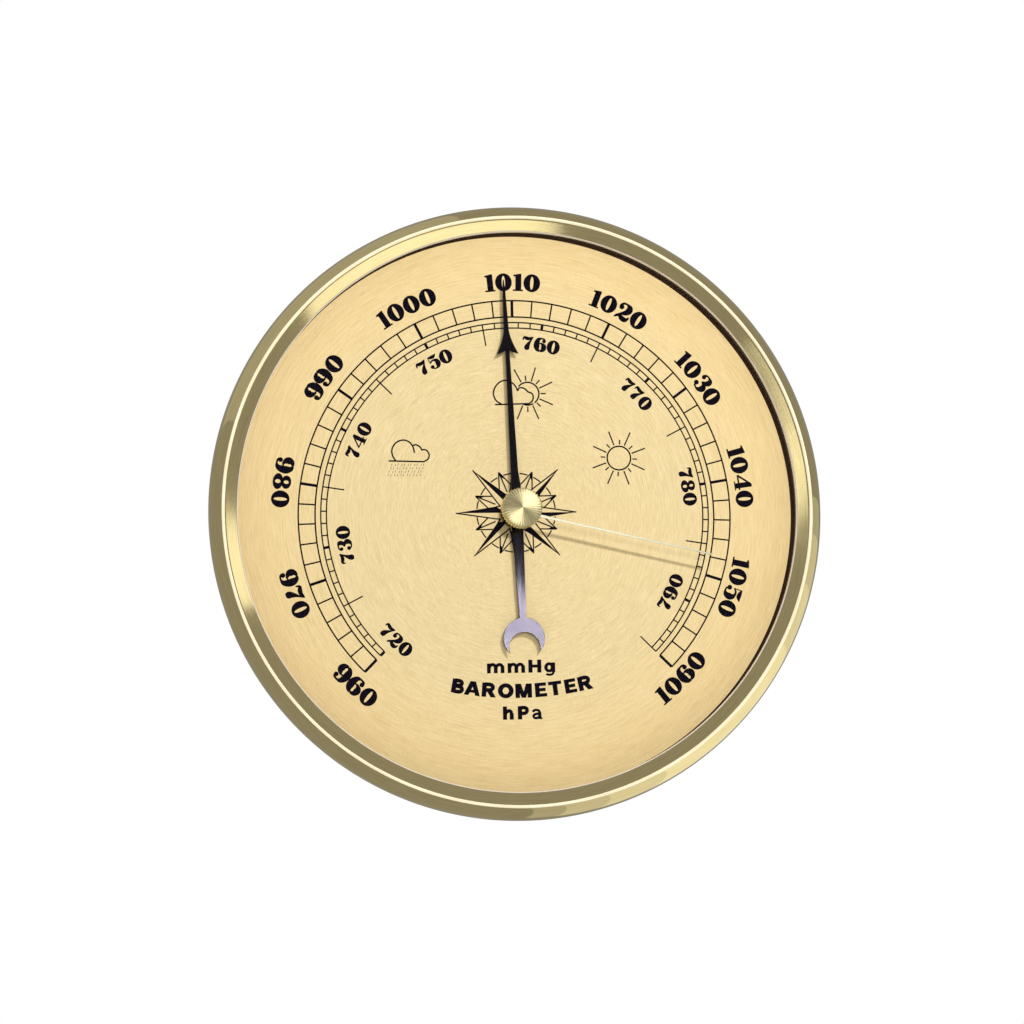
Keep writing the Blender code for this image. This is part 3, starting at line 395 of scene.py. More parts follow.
def tick(ink, clock, inner, outer, half):
    ink.line([on_dial(inner, clock), on_dial(outer, clock)], half)


def scale_arc(ink, radius, half=THIN):
    end = SWEEP / 2
    points = [on_dial(radius, radians(-end + SWEEP * step / 180)) for step in range(181)]
    ink.line(points, half)


def hpa_scale(ink):
    ink.offset = SCALE_OFFSET
    scale_arc(ink, HPA_OUTER)
    scale_arc(ink, HPA_INNER)
    for value in range(HPA_LOW, HPA_HIGH + 1, 2):
        half = THICK if value % 10 == 0 else THIN
        tick(ink, hpa_clock(value), HPA_INNER, HPA_OUTER, half)


def mmhg_scale(ink):
    ink.offset = SCALE_OFFSET
    scale_arc(ink, MMHG_OUTER, FINE)
    scale_arc(ink, MMHG_INNER, FINE)
    for value in range(MMHG_LOW, MMHG_HIGH + 1):
        clock = scale_clock(value, MMHG_LOW, MMHG_HIGH)
        half = THICK if value % 10 == 0 else FINE
        inner = LONG_TICK_END if value % 10 == 5 else MMHG_INNER
        tick(ink, clock, inner, MMHG_OUTER, half)


def hpa_numbers(ink):
    radius, height = 49.96, 3.8
    ink.offset = HPA_NUMBER_OFFSET
    # how far round each number is printed from its mark
    drift = {960: -1.1, 970: -1.26, 980: -0.68, 990: 0.23, 1000: 0.23, 1010: 0.42, 1020: 0.95, 1030: 0.5,
             1040: 0.27, 1050: 1.06, 1060: 0.35}
    for value in range(HPA_LOW, HPA_HIGH + 1, 10):
        clock = hpa_clock(value) + drift[value] / radius
        draw_number(ink, value, radius, height, clock, value in (960, 970, 980, 1060))


def mmhg_numbers(ink):
    radius, height = 37.12, 2.98
    ink.offset = MMHG_NUMBER_OFFSET
    drift = {720: -0.19, 730: -0.15, 740: -0.68, 750: -0.05, 760: 0.3, 770: 0.63, 780: 0.16, 790: 0.1}
    for value in range(MMHG_LOW, MMHG_HIGH, 10):
        clock = scale_clock(value, MMHG_LOW, MMHG_HIGH) + drift[value] / radius
        raised = 0.7 if value == 780 else 0.0
        draw_number(ink, value, radius + raised, height, clock, value in (720, 790))


def compass_rose(ink):
    """Eight long half-filled points, eight short open ones between them, and a circle behind."""
    ink.offset = (0.0, 0.0)
    for step in range(8):
        clock = tau * step / 8
        tip = on_dial(12.95, clock)
        dark = on_dial(4.5, clock + 1.35 / 4.45)
        open_side = on_dial(4.5, clock - 1.3 / 4.45)
        middle = on_dial(2.2, clock)
        ink.patch([middle, tip, dark])
        ink.line([tip, open_side], FINE)
        ink.line([open_side, on_dial(3.6, clock - pi / 8)], FINE)
        ink.line([dark, on_dial(3.6, clock + pi / 8)], FINE)
        between = clock + pi / 8
        point = on_dial(9.4, between)
        left = on_dial(6.15, between - radians(12.5))
        right = on_dial(6.15, between + radians(12.5))
        ink.line([left, point], FINE)
        ink.line([point, right], FINE)
        ink.line([point, on_dial(4.8, between)], FINE)
        ink.patch([point, on_dial(8.2, between), on_dial(7.6, between + radians(4.6))])
        for side in (-1, 1):
            start = between + side * radians(4.5)
            end = between + side * radians(16.5)
            bow = [on_dial(8.44, start + (end - start) * part / 6) for part in range(7)]
            ink.line(bow, FINE)


def rays(ink, centre, clocks, inner, outer):
    for clock in clocks:
        away = Vector(on_dial(1, clock))
        middle = Vector(centre)
        ink.line([tuple(middle + away * inner), tuple(middle + away * outer)], FINE)


def sun_drawing(ink):
    ink.offset = DRAWING_OFFSET
    centre = (22.57, 11.97)
    ink.line(arc(centre, (2.55, 2.55), 0, 350, 35), THIN, closed=True)
    rays(ink, centre, [radians(25 + 45 * step) for step in range(8)], 2.95, 6.1)
    rays(ink, centre, [radians(4 + 45 * step) for step in range(8)], 2.95, 3.95)


def cloud_line(ink, points):
    ink.line(smooth_path(points))


def cloudy_sun_drawing(ink):
    ink.offset = DRAWING_OFFSET
    centre = (3.10, 25.99)
    ink.line(arc(centre, (2.46, 2.46), -52, 141, 24))
    ink.line(arc(centre, (2.46, 2.46), 240, 300, 8))
    rays(ink, centre, [radians(clock) for clock in (-28, 18, 65, 114, 157, 203)], 2.8, 5.95)
    rays(ink, centre, [radians(clock) for clock in (-6, 42, 90, 135, 180)], 2.8, 3.95)
    cloud_line(ink, [(-2.55, 23.75), (-3.75, 24.6), (-4.25, 26.1), (-3.75, 27.6), (-2.6, 28.65),
                     (-1.3, 28.85), (-0.1, 28.3), (0.6, 27.5), (0.99, 26.57)])
    cloud_line(ink, [(0.99, 26.57), (1.25, 27.15), (1.85, 27.3), (2.6, 27.0), (3.23, 26.35)])
    cloud_line(ink, [(3.1, 26.4), (3.95, 26.1), (4.32, 25.4), (4.1, 24.45), (3.4, 23.85)])
    ink.line([(-3.95, 23.66), (3.42, 23.85)])


def rain_cloud_drawing(ink):
    ink.offset = DRAWING_OFFSET
    cloud_line(ink, [(-25.45, 11.75), (-26.1, 12.9), (-26.15, 14.3), (-25.3, 15.6), (-23.9, 16.15),
                     (-22.6, 15.8), (-21.75, 14.8), (-21.4, 13.4)])
    cloud_line(ink, [(-21.75, 14.85), (-21.2, 15.15), (-20.3, 14.75), (-19.75, 13.95)])
    cloud_line(ink, [(-19.95, 14.0), (-18.95, 14.0), (-18.3, 13.1), (-18.5, 12.1), (-19.44, 11.49)])
    ink.line([(-26.9, 11.72), (-19.44, 11.49)])
    for row in range(4):
        for column in range(11):
            x = -26.2 + 0.68 * column - 0.30 * row + 0.12 * ((row + column) % 2)
            y = 11.1 - 0.72 * row - 0.10 * (column % 2)
            ink.line([(x, y), (x - 0.16, y - 0.45)], 0.045)


def block(ink, left, low, right, high):
    ink.patch([(left, low), (right, low), (right, high), (left, high)])


def bow_stroke(ink, points, half=0.14):
    ink.line(smooth_path(points), half)


def draw_upper_b(ink):
    block(ink, 0, 0, 0.33, 1)
    bow_stroke(ink, [(0.2, 0.885), (0.5, 0.885), (0.64, 0.83), (0.68, 0.72), (0.62, 0.61), (0.46, 0.555),
                     (0.2, 0.555)])
    bow_stroke(ink, [(0.2, 0.5), (0.5, 0.495), (0.70, 0.43), (0.76, 0.30), (0.70, 0.18), (0.52, 0.12),
                     (0.2, 0.12)])


def draw_upper_a(ink):
    ink.patch([(-0.03, 0), (0.31, 0), (0.70, 1), (0.36, 1)])
    ink.patch([(0.79, 0), (1.13, 0), (0.74, 1), (0.40, 1)])
    ink.patch([(0.24, 0.19), (0.86, 0.19), (0.78, 0.40), (0.32, 0.40)])


def draw_upper_r(ink):
    block(ink, 0, 0, 0.33, 1)
    bow_stroke(ink, [(0.2, 0.885), (0.54, 0.885), (0.72, 0.82), (0.77, 0.69), (0.70, 0.56), (0.52, 0.49),
                     (0.2, 0.49)])
    ink.patch([(0.34, 0.45), (0.70, 0.50), (1.03, 0), (0.64, 0)])


def draw_upper_o(ink):
    ink.ring((0.55, 0.5), (0.56, 0.53), (0.22, 0.235))


def draw_upper_m(ink):
    block(ink, 0, 0, 0.32, 1)
    block(ink, 0.86, 0, 1.18, 1)
    ink.patch([(0.03, 1), (0.41, 1), (0.73, 0), (0.45, 0)])
    ink.patch([(0.77, 1), (1.15, 1), (0.73, 0), (0.45, 0)])


def draw_upper_e(ink):
    block(ink, 0, 0, 0.33, 1)
    block(ink, 0.2, 0.76, 0.81, 1)
    block(ink, 0.2, 0.385, 0.76, 0.62)
    block(ink, 0.2, 0, 0.84, 0.24)


def draw_upper_t(ink):
    block(ink, 0, 0.75, 0.94, 1)
    block(ink, 0.30, 0, 0.64, 0.8)


def draw_upper_h(ink):
    block(ink, 0, 0, 0.32, 1)
    block(ink, 0.69, 0, 1.01, 1)
    block(ink, 0.2, 0.39, 0.8, 0.62)


def draw_upper_p(ink):
    block(ink, 0, 0, 0.33, 1)
    bow_stroke(ink, [(0.2, 0.885), (0.5, 0.885), (0.67, 0.81), (0.71, 0.67), (0.65, 0.53), (0.48, 0.455),
                     (0.2, 0.455)])


def draw_lower_m(ink):
    block(ink, -0.02, 0, 0.27, 0.76)
    for step in (0, 0.53):
        bow_stroke(ink, [(step + 0.12, 0.36), (step + 0.22, 0.56), (step + 0.38, 0.66), (step + 0.54, 0.63),
                         (step + 0.64, 0.5)], 0.125)
        block(ink, step + 0.51, 0, step + 0.80, 0.56)


def draw_lower_h(ink):
    block(ink, -0.01, 0, 0.30, 1)
    bow_stroke(ink, [(0.13, 0.36), (0.25, 0.56), (0.42, 0.66), (0.57, 0.62), (0.655, 0.48)], 0.135)
    block(ink, 0.50, 0, 0.81, 0.5)


def draw_lower_a(ink):
    bow_stroke(ink, [(0.08, 0.55), (0.20, 0.67), (0.38, 0.69), (0.54, 0.64), (0.60, 0.5)], 0.095)
    block(ink, 0.48, 0.06, 0.73, 0.52)
    bow_stroke(ink, [(0.58, 0.42), (0.36, 0.40), (0.19, 0.33), (0.13, 0.21), (0.22, 0.10), (0.40, 0.09),
                     (0.58, 0.2)], 0.095)
    ink.patch([(0.50, 0.0), (0.84, 0.0), (0.80, 0.07), (0.72, 0.2), (0.52, 0.2)])


def draw_lower_g(ink):
    ink.ring((0.36, 0.39), (0.385, 0.39), (0.12, 0.165))
    block(ink, 0.54, 0.02, 0.83, 0.76)
    bow_stroke(ink, [(0.68, 0.06), (0.66, -0.07), (0.54, -0.16), (0.34, -0.18), (0.12, -0.12)], 0.09)


# Each letter's width for its height, and how it is drawn
LETTERS = {"A": (1.10, draw_upper_a), "B": (0.88, draw_upper_b), "E": (0.83, draw_upper_e),
           "H": (0.99, draw_upper_h), "M": (1.18, draw_upper_m), "O": (1.10, draw_upper_o),
           "P": (0.83, draw_upper_p), "R": (1.0, draw_upper_r), "T": (0.94, draw_upper_t),
           "a": (0.84, draw_lower_a), "g": (0.80, draw_lower_g), "h": (0.79, draw_lower_h),
           "m": (1.30, draw_lower_m)}


def draw_word(ink, letters, foot, height, bow=0.0):
    """Letters centred at given places x along a line; bow is the radius of the arc they hang in, if any."""
    for letter, x in letters:
        width, draw = LETTERS[letter]
        lean = asin(x / bow) if bow else 0.0
        rise = bow * (1 - cos(lean))
        along = Vector((cos(lean), sin(lean)))
        up = Vector((-sin(lean), cos(lean)))
        corner = Vector((x, foot + rise)) - along * (width * height / 2)
        ink.place = lambda a, b: tuple(corner + along * (a * height) + up * (b * height))
        draw(ink)
    ink.place = lambda x, y: (x, y)


def words(ink):
    ink.offset = DRAWING_OFFSET
    draw_word(ink, [("m", -4.95), ("m", -0.55), ("H", 3.4), ("g", 6.6)], -33.7, 2.75)
    named = [("B", -13.3), ("A", -10.15), ("R", -6.6), ("O", -2.95), ("M", 0.95), ("E", 4.7), ("T", 7.85),
             ("E", 11.2), ("R", 14.4)]
    draw_word(ink, named, -39.0, 3.0, bow=72.0)
    draw_word(ink, [("h", -2.45), ("P", 0.75), ("a", 3.75)], -43.55, 2.8)


# -------- finishes


def add_node(tree, kind, settings=None, **inputs):
    """Adds a shader node. An input named in2 is the third one; an underscore in any other name is a space."""
    node = tree.nodes.new("ShaderNode" + kind)
    for key, value in (settings or {}).items():
        setattr(node, key, value)
    for key, value in inputs.items():
        numbered = key.startswith("in") and key[2:].isdigit()
        socket = node.inputs[int(key[2:])] if numbered else node.inputs[key.replace("_", " ")]
        if isinstance(value, bpy.types.NodeSocket):
            tree.links.new(value, socket)
        else:
            socket.default_value = value
    return node


class Look:
    """A material under construction from shader nodes."""

    def __init__(self, name):
        self.material = bpy.data.materials.new(name)
        self.material.use_nodes = True
        self.tree = self.material.node_tree
        self.tree.nodes.clear()

    def node(self, kind, settings=None, **inputs):
        return add_node(self.tree, kind, settings, **inputs)

    def math(self, operation, first, second):
        return self.node("Math", {"operation": operation}, in0=first, in1=second).outputs[0]

    def noise(self, vector, scale, detail=3.0, roughness=0.5):
        node = self.node("TexNoise", Vector=vector, Scale=scale, Detail=detail, Roughness=roughness)
        return node.outputs[0]

    def ramp(self, factor, stops):
        """Colours along 0..1: stops are (position, (r, g, b))."""
        node = self.node("ValToRGB", Fac=factor)
        elements = node.color_ramp.elements
        while len(elements) < len(stops):
            elements.new(0.5)
        for element, (position, colour) in zip(elements, stops):
            element.position = position
            element.color = (*colour, 1.0)
        return node.outputs[0]

    def span(self, factor, low, high, start=0.3, end=0.7):
        """Turns start..end into low..high."""
        node = self.node("MapRange", Value=factor, From_Min=start, From_Max=end, To_Min=low, To_Max=high)
        return node.outputs[0]

    def bump(self, height, strength, distance):
        return self.node("Bump", Height=height, Strength=strength, Distance=distance * MM).outputs[0]

    def place(self):
        return self.node("TexCoord").outputs["Object"]

    def flat_place(self):
        """The place seen along the dial's axis, and its distance from that axis."""
        split = self.node("SeparateXYZ", Vector=self.place())
        flat = self.node("CombineXYZ", X=split.outputs["X"], Y=split.outputs["Z"]).outputs[0]
        radius = self.node("VectorMath", {"operation": "LENGTH"}, in0=flat).outputs["Value"]
        return flat, radius

    def round_place(self, outward, around):
        """Texture places that run round the dial's axis: outward is the fineness across, per metre."""
        flat, radius = self.flat_place()
        heading = self.node("VectorMath", {"operation": "NORMALIZE"}, in0=flat).outputs["Vector"]
        turn = self.node("SeparateXYZ", Vector=heading)
        x = self.math("MULTIPLY", turn.outputs["X"], around)
        y = self.math("MULTIPLY", turn.outputs["Y"], around)
        far = self.math("MULTIPLY", radius, outward)
        return self.node("CombineXYZ", X=far, Y=x, Z=y).outputs[0]

    def along(self, stretch, turn=0.0):
        """Texture places stretched along an axis, turned about the dial's: scratches and rolled grain."""
        node = self.node("Mapping", Vector=self.place(), Scale=stretch, Rotation=(0.0, radians(turn), 0.0))
        return node.outputs[0]

    def ring_tangent(self):
        node = self.node("Tangent", {"direction_type": "RADIAL", "axis": "Y"})
        return node.outputs[0]

    def surface(self, **inputs):
        shader = self.node("BsdfPrincipled", **inputs)
        return self.finish(shader.outputs[0])

    def finish(self, shader):
        self.node("OutputMaterial", Surface=shader)
        return self.material


def gold_bezel():
    look = Look("gold_bezel")
    grooves = look.noise(look.round_place(5200, 9), 1.0, 4.0, 0.6)
    patches = look.noise(look.place(), 120.0, 3.0)
    golds = [(0.25, (0.80, 0.66, 0.31)), (0.55, (0.93, 0.775, 0.38)), (0.8, (0.98, 0.84, 0.45))]
    colour = look.ramp(grooves, golds)
    return look.surface(Base_Color=colour, Metallic=1.0, Roughness=look.span(patches, 0.045, 0.07),
                        Anisotropic=0.75, Anisotropic_Rotation=0.25, Tangent=look.ring_tangent(),
                        Normal=look.bump(grooves, 0.12, 0.01))


def bezel_lip():
    look = Look("bezel_lip")
    grain = look.noise(look.round_place(3000, 12), 1.0, 3.0)
    colour = look.ramp(grain, [(0.3, (0.78, 0.69, 0.56)), (0.7, (0.90, 0.81, 0.68))])
    return look.surface(Base_Color=colour, Metallic=0.35, Roughness=look.span(grain, 0.3, 0.45),
                        Normal=look.bump(grain, 0.2, 0.02))


def spun_dial():
    """Champagne gold with a fine grain round the axis and across it. Towards the rim it is painted a lighter,
    more orange gold: painted light in place of the light the bezel's wall keeps off the rim, with the warm
    tint of the rim's shade painted in.
    """
    look = Look("gold_dial")
    spun = look.noise(look.round_place(4300, 10), 1.0, 3.0, 0.75)
    broad = look.noise(look.round_place(420, 6), 1.0, 2.0)
    left = look.noise(look.along((4000.0, 300.0, 700.0), 42.0), 1.0, 3.0, 0.65)
    right = look.noise(look.along((4000.0, 300.0, 700.0), -42.0), 1.0, 3.0, 0.65)
    crossed = look.math("MULTIPLY", look.math("ADD", left, right), 0.5)
    grain = look.math("ADD", look.math("MULTIPLY", spun, 0.68), look.math("MULTIPLY", crossed, 0.32))
    pale = [(0.38, (0.78, 0.605, 0.305)), (0.5, (0.87, 0.69, 0.365)), (0.62, (0.95, 0.77, 0.43))]
    # painted light and shade for the rim: a lighter, more orange gold that makes up for the light the bezel's
    # wall keeps off it
    rim_painted_light = [(0.38, (0.84, 0.62, 0.285)), (0.5, (0.94, 0.71, 0.345)), (0.62, (0.99, 0.77, 0.40))]
    inner = look.ramp(grain, pale)
    outer = look.ramp(grain, rim_painted_light)
    flat, radius = look.flat_place()
    # the painted rim light fades in from 38 mm to 56 mm out
    share = look.span(radius, 0.0, 1.0, 0.038, 0.056)
    gold = look.node("Mix", {"data_type": "RGBA"}, in0=share, in6=inner, in7=outer).outputs[2]
    tint = look.ramp(broad, [(0.3, (0.975, 0.968, 0.95)), (0.7, (1.0, 1.0, 1.0))])
    colour = look.node("Mix", {"data_type": "RGBA", "blend_type": "MULTIPLY"}, in0=1.0, in6=gold, in7=tint)
    return look.surface(Base_Color=colour.outputs[2], Metallic=0.2, Roughness=look.span(grain, 0.42, 0.58),
                        Anisotropic=0.4, Anisotropic_Rotation=0.25, Tangent=look.ring_tangent(),
                        Normal=look.bump(grain, 0.12, 0.02))


def polished_crest():
    """A painted highlight: the bright cream line along the bezel's crest, a pale, nearly matt colour in place
    of the gold bead's reflection.
    """
    look = Look("bezel_crest")
    grain = look.noise(look.round_place(3000, 9), 1.0, 3.0)
    colour = look.ramp(grain, [(0.3, (0.83, 0.76, 0.49)), (0.7, (0.95, 0.89, 0.65))])
    return look.surface(Base_Color=colour, Metallic=0.12, Roughness=look.span(grain, 0.28, 0.4),
                        Normal=look.bump(grain, 0.1, 0.01))


def black_ink():
    look = Look("black_ink")
    grain = look.noise(look.place(), 2500.0, 3.0)
    colour = look.ramp(grain, [(0.3, (0.0015, 0.001, 0.003)), (0.7, (0.005, 0.003, 0.009))])
    return look.surface(Base_Color=colour, Roughness=look.span(grain, 0.4, 0.6), Specular_IOR_Level=0.03,
                        Normal=look.bump(grain, 0.1, 0.01))


def blued_steel():
    look = Look("blued_steel")
    oxide = look.noise(look.place(), 180.0, 3.0)
    grind = look.noise(look.along((2600.0, 600.0, 110.0)), 1.0, 3.0)
    colour = look.ramp(oxide, [(0.3, (0.020, 0.0178, 0.024)), (0.7, (0.028, 0.025, 0.032))])
    return look.surface(Base_Color=colour, Metallic=1.0, Roughness=look.span(grind, 0.04, 0.07),
                        Normal=look.bump(grind, 0.03, 0.01))


def pale_brass():
    look = Look("pale_brass")
    grain = look.noise(look.along((300.0, 600.0, 2600.0), 14.0), 1.0, 3.0)
    colour = look.ramp(grain, [(0.3, (0.82, 0.76, 0.53)), (0.7, (0.92, 0.87, 0.66))])
    return look.surface(Base_Color=colour, Metallic=0.6, Roughness=look.span(grain, 0.10, 0.15),
                        Normal=look.bump(grain, 0.08, 0.01))


def turned_brass():
    look = Look("bright_brass")
    lines = look.noise(look.round_place(9000, 3), 1.0, 4.0, 0.6)
    spokes = look.noise(look.round_place(200, 34), 1.0, 3.0, 0.6)
    colour = look.ramp(spokes, [(0.35, (0.74, 0.61, 0.27)), (0.65, (0.93, 0.83, 0.50))])
    return look.surface(Base_Color=colour, Metallic=1.0, Roughness=look.span(spokes, 0.24, 0.34),
                        Anisotropic=0.9, Anisotropic_Rotation=0.25, Tangent=look.ring_tangent(),
                        Normal=look.bump(lines, 0.15, 0.01))


def worn_metal(name, dark, light, low, high):
    """Plain metal: fine grain, slow changes of colour and shine."""
    look = Look(name)
    grain = look.noise(look.place(), 900.0, 4.0, 0.6)
    slow = look.noise(look.place(), 70.0, 3.0)
    colour = look.ramp(slow, [(0.3, dark), (0.7, light)])
    return look.surface(Base_Color=colour, Metallic=1.0, Roughness=look.span(grain, low, high),
                        Normal=look.bump(grain, 0.08, 0.02))


def rolled_metal(name, dark, light, low, high):
    """Sheet metal with the rolling marks along one direction."""
    look = Look(name)
    grain = look.noise(look.along((90.0, 900.0, 2600.0)), 1.0, 3.0)
    slow = look.noise(look.place(), 60.0, 3.0)
    colour = look.ramp(slow, [(0.3, dark), (0.7, light)])
    return look.surface(Base_Color=colour, Metallic=1.0, Roughness=look.span(grain, low, high),
                        Normal=look.bump(grain, 0.12, 0.02))


def dull_black(name, dark, light, fineness, **inputs):
    """Rubber and moulded plastic: matt, faintly grained."""
    look = Look(name)
    grain = look.noise(look.place(), fineness, 4.0, 0.6)
    colour = look.ramp(grain, [(0.3, dark), (0.7, light)])
    return look.surface(Base_Color=colour, Roughness=look.span(grain, 0.7, 0.9),
                        Normal=look.bump(grain, 0.2, 0.03), **inputs)


def clear_glass():
    look = Look("glass")
    smears = look.noise(look.place(), 45.0, 3.0)
    wave = look.noise(look.place(), 9.0, 2.0)
    facing = look.node("LayerWeight", Blend=0.5).outputs["Facing"]
    grazing = look.math("MULTIPLY", look.math("POWER", facing, 5.0), 0.9)
    share = look.math("ADD", grazing, look.span(smears, 0.004, 0.007))
    clear = look.node("BsdfTransparent", Color=(0.985, 0.992, 0.988, 1.0)).outputs[0]
    shine = look.node("BsdfAnisotropic", Color=(1.0, 1.0, 1.0, 1.0), Roughness=look.span(smears, 0.0, 0.03),
                      Normal=look.bump(wave, 0.02, 0.1)).outputs[0]
    return look.finish(look.node("MixShader", in0=share, in1=clear, in2=shine).outputs[0])


def finishes():
    """A material for every slot of the record."""
    rubber = dull_black("black_rubber", (0.012, 0.011, 0.010), (0.03, 0.028, 0.026), 1500.0)
    # the plastic is black; its red-brown tint is a painted reflection of the gold dial on the spacer wall
    plastic = dull_black("black_plastic", (0.018, 0.007, 0.005), (0.034, 0.014, 0.009), 700.0,
                         Specular_IOR_Level=0.04)
    return {
        "gold_bezel": gold_bezel(),
        "gold_dial": spun_dial(),
        "bright_brass": turned_brass(),
        "brass": worn_metal("brass", (0.66, 0.49, 0.20), (0.80, 0.62, 0.30), 0.22, 0.36),
        "blued_steel": blued_steel(),
        "spring_steel": rolled_metal("spring_steel", (0.32, 0.33, 0.36), (0.46, 0.47, 0.50), 0.22, 0.38),
        "zinc_steel": worn_metal("zinc_steel", (0.48, 0.49, 0.47), (0.66, 0.66, 0.64), 0.28, 0.42),
        "case_steel": rolled_metal("case_steel", (0.58, 0.47, 0.26), (0.72, 0.60, 0.35), 0.30, 0.42),
        "capsule_metal": worn_metal("capsule_metal", (0.60, 0.58, 0.53), (0.76, 0.74, 0.70), 0.16, 0.28),
        "glass": clear_glass(),
        "black_rubber": rubber,
        "black_plastic": plastic,
    }


# -------- pieces


def bezel_outline():
    """Section of the pressed ring: rolled lip, sloping face, bead, round outer side and turned-in edge."""
    outer = [(59.8, 33.35), (59.8, 33.85), (59.88, 33.98), (60.02, 34.03), (60.1, 34.0415), (61.2, 34.20)]
    outer += [(62.3, 34.3575), (62.40, 34.372), (62.48, 34.41)]
    outer += arc((62.98, 33.98), (0.75, 0.75), 125, 52, 14)
    outer += arc((59.34, 29.32), (6.66, 6.66), 50, 0, 22)
    outer += [(65.85, 28.0), (65.6, 26.5), (65.5, 23.8), (65.4, 23.4), (65.1, 23.08), (64.8, 23.0)]
    outer += [(61.5, 23.0)]
    inner = [(61.5, 23.7), (64.5, 23.75), (64.75, 24.0), (64.85, 26.5), (65.1, 28.0)]
    inner += arc((59.34, 29.32), (5.9, 5.9), 0, 50, 12)
    inner += [(62.4, 33.65), (60.0, 33.3)]
    return outer + inner


def add_bezel(looks):
    """The pressed ring with its paler lip and a painted highlight along its crest."""

    def pick(start, end):
        middle = (start[0] + end[0]) / 2
        if middle < 60.03:
            return 1
        # faces along the top of the bead take the pale cream painted crest highlight
        return 2 if 62.52 < middle < 63.2 and start[1] > 34.4 else 0

    shape = turned(bezel_outline(), steps=320, pick=pick)
    golds = [looks["gold_bezel"], bezel_lip(), polished_crest()]
    make("bezel_ring", shape, golds, "case", ["bezel"])


def add_front_stack(looks):
    """Glass with ground edges, gasket, spacer ring and dial."""
    pane = [(2.5, 31.1), (2.6, 31.0), (61.85, 31.0), (62.0, 31.15), (62.0, 32.85), (61.85, 33.0), (2.6, 33.0),
            (2.5, 32.9)]
    make("glass_pane", turned(pane), [looks["glass"]], "case", ["glass"])
    seal = [(60.3, 30.0), (60.4, 29.9), (61.9, 29.9), (62.0, 30.0), (62.0, 30.6), (61.9, 30.7), (60.4, 30.7),
            (60.3, 30.6)]
    make("glass_seal", turned(seal), [looks["black_rubber"]], "case", ["glass_gasket"])
    wall = [(60.3, 26.25), (60.45, 26.1), (62.15, 26.1), (62.3, 26.25), (62.3, 29.45), (62.15, 29.6),
            (60.45, 29.6), (60.3, 29.45)]
    make("spacer_wall", turned(wall), [looks["black_plastic"]], "case", ["spacer_ring"])
    sheet = [(3.4, 25.2), (62.2, 25.2), (62.3, 25.3), (62.3, 25.7), (62.2, 25.8), (3.5, 25.8), (3.4, 25.7)]
    make("dial_sheet", turned(sheet), [looks["gold_dial"]], "case", ["dial"])


def add_print():
    """The dial's print, in four pieces."""
    look = black_ink()
    pieces = {
        "print_scales": (hpa_scale, mmhg_scale),
        "print_numbers": (hpa_numbers, mmhg_numbers),
        "print_words": (words,),
        "print_drawings": (compass_rose, sun_drawing, cloudy_sun_drawing, rain_cloud_drawing),
    }
    for name, drawings in pieces.items():
        ink = Ink()
        for draw in drawings:
            draw(ink)
        make(name, ink.shape, [look], "case")


def turned_about(points, turn):
    """Points (x, z) drawn upwards, turned clockwise about the dial's axis."""
    return [(x * cos(turn) + z * sin(turn), z * cos(turn) - x * sin(turn)) for x, z in points]


def pointer_outline():
    """Fine tip, barbed head with hollow sides, shaft, round eye and a tail that ends in a crescent."""
    right = [(0.1, 50.7), (0.3, 48.0), (0.42, 44.5), (0.5, 41.2)]
    for step in range(9):
        share = step / 8
        right.append((0.53 + 1.87 * share ** 1.6, 40.0 - 5.6 * share))
    right += [(1.2, 34.75), (0.44, 35.2), (0.88, 3.3)]
    right += arc((0, 0), (3.3, 3.3), 65, -65, 30)
    shoulder = degrees(acos(0.72 / 4.45))
    apart = 2.0
    along = (4.45 ** 2 - 3.35 ** 2 + apart ** 2) / (2 * apart)
    horn = -degrees(asin(along / 4.45))
    right += [(1.2, -3.9)] + arc((0, -27.2), (4.45, 4.45), shoulder, horn, 40)
    meet = Vector(right[-1]) - Vector((0, -29.2))
    bite = arc((0, -29.2), (3.35, 3.35), degrees(atan2(meet.y, meet.x)), 90, 24)
    right += bite[1:]
    return right + [(-x, z) for x, z in reversed(right[:-1])]


def add_hands(looks):
    """The blued pointer, and the pale hand that is set by the knob."""
    eye = arc((0, 0), (2.4, 2.4), 0, 355, 71)
    outline = turned_about(pointer_outline(), hpa_clock(READING))
    shape = flat_plate(outline, 26.8, 27.15, 0.05, [eye])
    make("pointer_blade", shape, [looks["blued_steel"]], "pointer", ["pointer"])
    root = degrees(acos(0.33 / 2.5))
    outline = arc((0, 0), (2.5, 2.5), root, root - 360 + 2 * (90 - root), 60)
    outline += [(-0.19, 43.0), (0.19, 43.0)]
    hole = arc((0, 0), (1.3, 1.3), 0, 350, 35)
    shape = flat_plate(turned_about(outline, hpa_clock(SET_READING)), 29.5, SET_HAND_FACE, 0.045, [hole])
    make("set_hand_blade", shape, [pale_brass()], "set_hand", ["set_hand"])


